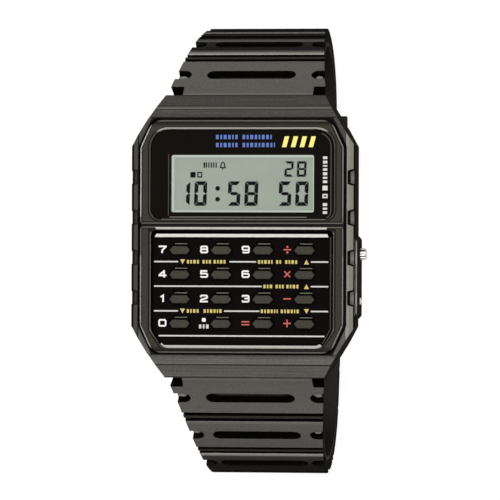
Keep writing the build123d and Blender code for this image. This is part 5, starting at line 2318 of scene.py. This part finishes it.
@dataclass
class Buttons:
    """The chromed mode button with its flutes painted dark as shade, and the small adjust button.
    """

    up: float = 3.0
    flutes: int = 6
    flute_steps: int = 8
    flute_turn: float = 36.0
    flute_depth: float = 0.13
    flute_share: float = 0.45
    flute_sharpness: int = 4
    buttons: tuple[Button, ...] = (
        Button("mode_button_head", "mode_button", Body.MODE, -2.63, (
            (12.3, 0.4, 0), (16.85, 0.4, 0), (16.85, 0.88, 0.6), (16.93, 0.92, 1),
            (18.25, 0.92, 1), (18.43, 0.86, 0.8), (18.53, 0.72, 0), (18.55, 0.58, 0),
        )),
        Button("adjust_button_head", "adjust_button", Body.ADJUST, -9.8, (
            (12.3, 0.4, 0), (16.65, 0.4, 0), (16.65, 0.6, 0), (17.41, 0.6, 0),
            (17.59, 0.54, 0), (17.7, 0.4, 0), (17.75, 0.18, 0),
        )),
    )

    def build(self) -> None:
        """Builds both buttons."""
        chrome = [
            Metal("chrome_dressed", Tone(222, 221, 218), 0.24, metal=0.45).material(),
            # The flutes' dark metal is painted shade.
            Metal("chrome_flute_shade", Tone(34, 32, 30), 0.4, metal=0.5).material(),
        ]
        for button in self.buttons:
            piece = self.turned(button, chrome)
            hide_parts(button.node)

    def turned(self, button: Button, materials: Sequence[Material]) -> bpy.types.Object:
        """Makes a button, turned about a line along X.

        Args:
            button: the button.
            materials: its metal and the darker metal of its flutes, painted as shade.

        Returns:
            The piece.
        """
        shape = Shape(button.name)
        count = self.flutes * self.flute_steps
        turns = [math.tau * step / count for step in range(count)]
        start = math.radians(self.flute_turn)
        waves = (max(0.0, math.cos((turn - start) * self.flutes)) for turn in turns)
        dips = [wave**self.flute_sharpness for wave in waves]
        rings = []
        for x, radius, share in button.profile:
            points = []
            for turn, dip in zip(turns, dips):
                reach = radius - dip * self.flute_depth * share
                y, z = button.along + reach * math.sin(turn), self.up + reach * math.cos(turn)
                points.append((x, y, z))
            rings.append(shape.ring(points))
        fluted = [share > 0.5 for _, _, share in button.profile]
        for index, (low, high) in enumerate(zip(rings, rings[1:])):
            shape.bridge(low, high, 0)
            if not (fluted[index] and fluted[index + 1]):
                continue
            shape.mesh.faces.ensure_lookup_table()
            for step, face in enumerate(shape.mesh.faces[-count:]):
                middle = (dips[step] + dips[(step + 1) % count]) / 2
                face.material_index = 1 if middle > self.flute_share else 0
        shape.cap([rings[0]], 0)
        shape.cap([rings[-1]], 0)
        return shape.piece(materials, button.body, 32)


@dataclass
class CaseAndInside:
    """The case, its back and everything inside it: each finish and the nodes it goes on."""

    finishes: tuple[tuple[CaseResin | Metal | Moulding | BoardFinish, tuple[str, ...]], ...] = (
        (CaseResin(), ("case_body",)),
        (Metal("back_steel_dressed", Tone(186, 184, 179), 0.34, (1, 40, 1)), ("case_back",)),
        (
            Metal("screw_steel_dressed", Tone(170, 168, 163), 0.28),
            ("case_back_screws", "spring_bar_upper", "spring_bar_lower"),
        ),
        (
            Metal("spring_steel_dressed", Tone(168, 167, 164), 0.25),
            (
                "battery_clip",
                "piezo_contact_spring",
                "mode_button_spring",
                "mode_button_clip",
                "adjust_button_spring",
                "adjust_button_clip",
            ),
        ),
        (Metal("cell_steel", Tone(196, 195, 190), 0.3, (1, 20, 1)), ("battery",)),
        (Metal("piezo_brass", Tone(196, 164, 96), 0.3, (20, 1, 1)), ("piezo_disc",)),
        (
            Moulding("seal_rubber_dressed", Tone(40, 39, 38), 0.7),
            ("case_back_gasket", "mode_button_seal", "adjust_button_seal"),
        ),
        (
            Moulding("module_resin_dressed", Tone(190, 186, 174), 0.5),
            ("module_frame", "lcd_holder"),
        ),
        (Moulding("silicone_dressed", Tone(140, 140, 137), 0.6), ("key_membrane",)),
        (Moulding("zebra_dressed", Tone(176, 150, 136), 0.6, 0.1), ("zebra_strips",)),
        (
            Moulding("reflector_dressed", Tone(205, 207, 203), 0.35, 0.4, 0.004, 0.6),
            ("lcd_reflector",),
        ),
        (BoardFinish(), ("circuit_board",)),
        (Moulding("components_dressed", Tone(42, 42, 44), 0.4, 0.5), ("board_components",)),
    )

    def build(self, nodes: Nodes) -> None:
        """Dresses the frame's nodes."""
        for finish, names in self.finishes:
            dress(nodes, finish.material(), *names)


@dataclass
class Buckle:
    """The buckle, its tongue and its bar, which share one brushed steel."""

    steel: Metal = Metal("buckle_steel_dressed", Tone(192, 190, 186), 0.26, (30, 1, 1))
    pieces: tuple[str, ...] = ("buckle_frame", "buckle_tongue", "buckle_bar")

    def build(self, nodes: Nodes) -> None:
        """Dresses the frame's nodes."""
        dress(nodes, self.steel.material(), *self.pieces)


@dataclass
class Studio:
    """Pale floor, soft lights and the camera of the photograph.

    The camera's angles are in degrees, its places in millimetres, and scale is how many of the
    photograph's pixels a millimetre takes up. Each lamp has a name, a place and a size in
    metres, and a power in watts.
    """

    tilt: float = 7.99
    nod: float = 0.60
    roll: float = 0.24
    shift_across: float = -1.26
    shift_along: float = 2.10
    distance: float = 772.0
    scale: float = 6.579
    frame_pixels: int = 500
    target_height: float = 8.2
    sensor: float = 36.0
    near_clip: float = 0.05
    far_clip: float = 50.0
    floor_tone: Tone = Tone(190, 190, 190)
    floor_rough: float = 0.9
    floor_glow: float = 1.13
    floor_share: float = 0.84
    floor_half: float = 3.0
    floor_gap: float = 0.0001
    dim: tuple[float, float, float, float] = (0.12, 0.12, 0.12, 1)
    white: tuple[float, float, float, float] = (1, 1, 1, 1)
    lamps: tuple[tuple[str, tuple[float, float, float], float, float], ...] = (
        ("lamp_left", (-0.65, 0.12, 1.2), 0.4, 6.6),
        ("lamp_foot", (0.1, -0.66, 1.2), 0.4, 6.2),
        ("lamp_head", (0.15, 0.8, 1.1), 0.4, 6.2),
        ("lamp_right", (0.95, -0.1, 1.1), 0.5, 3.4),
    )

    def build(self) -> None:
        """Builds the floor, the lights, the world and the camera."""
        self.floor()
        self.lights()
        self.world()
        self.camera()

    def camera(self) -> None:
        """Makes the camera that sees the watch as the photograph does."""
        tilt, nod, roll = (math.radians(a) for a in (self.tilt, self.nod, self.roll))
        forward = Vector(
            (-math.sin(tilt) * math.cos(nod), math.sin(nod), -math.cos(tilt) * math.cos(nod))
        )
        side = Vector((math.cos(tilt), 0, -math.sin(tilt)))
        up = side.cross(forward)
        right = side * math.cos(roll) + up * math.sin(roll)
        top = up * math.cos(roll) - side * math.sin(roll)
        eye = Vector((0, 0, self.target_height)) - right * self.shift_across
        eye -= top * self.shift_along + forward * self.distance
        data = bpy.data.cameras.new("photograph_camera")
        data.sensor_width = self.sensor
        data.lens = self.scale * self.distance * self.sensor / self.frame_pixels
        data.clip_start, data.clip_end = self.near_clip, self.far_clip
        camera = bpy.data.objects.new("photograph_camera", data)
        turned = Matrix((right, top, -forward)).transposed().to_4x4()
        camera.matrix_world = Matrix.Translation(eye * MM) @ turned
        bpy.context.scene.collection.objects.link(camera)
        bpy.context.scene.camera = camera

    def floor(self) -> None:
        """Makes the pale floor under the strap."""
        graph = Graph("studio_floor")
        material = graph.dress(base_color=self.floor_tone, roughness=self.floor_rough)
        values = {"Color": self.white, "Strength": self.floor_glow}
        glow = graph.node("ShaderNodeEmission", values=values)
        graph.mix_shaders(graph.seen() * self.floor_share, graph.shader, glow)
        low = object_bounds()[0][2]
        mesh = bmesh.new()
        bmesh.ops.create_grid(mesh, x_segments=1, y_segments=1, size=self.floor_half)
        data = bpy.data.meshes.new("studio_floor")
        mesh.to_mesh(data)
        mesh.free()
        data.materials.append(material)
        floor = bpy.data.objects.new("studio_floor", data)
        floor.location.z = low - self.floor_gap
        bpy.context.scene.collection.objects.link(floor)
        floor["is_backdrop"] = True

    def lights(self) -> None:
        """Makes the soft lamps, each aimed at the watch."""
        for name, place, size, power in self.lamps:
            data = bpy.data.lights.new(name, "AREA")
            data.shape, data.size, data.energy = "SQUARE", size, power
            lamp = bpy.data.objects.new(name, data)
            lamp.location = place
            lamp.rotation_euler = (-Vector(place)).to_track_quat("-Z", "Y").to_euler()
            bpy.context.scene.collection.objects.link(lamp)

    def world(self) -> None:
        """Makes the world: white where it is seen, dim as a light."""
        graph = Graph("studio_world", world=True)
        colour = graph.blend(graph.seen(), self.dim, self.white)
        bpy.context.scene.world = graph.dress(color=colour)


def note_sizes(name: str, sizes: dict[str, list[list[float]]]) -> None:
    """Keeps the present box of the whole object under a name."""
    low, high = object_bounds()
    sizes[name] = [list(map(float, low)), list(map(float, high))]


def main() -> None:
    """Builds every sub-assembly in order."""
    logging.basicConfig(level=logging.INFO, format="%(name)s: %(message)s")
    sizes: dict[str, list[list[float]]] = {}
    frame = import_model()
    note_sizes("cad", sizes)
    nodes = frame["nodes"]
    bpy.context.scene.view_settings.view_transform = "Standard"
    Studio().build()
    CaseAndInside().build(nodes)
    front = FrontFrame()
    front.build()
    WindowGlass().build(front.window())
    Display().build(nodes)
    Keypad().build(nodes)
    Strap().build(nodes)
    Buttons().build()
    Buckle().build(nodes)
    note_sizes("visual", sizes)
    log.info("sizes %s", sizes)


if __name__ == "__main__":
    main()
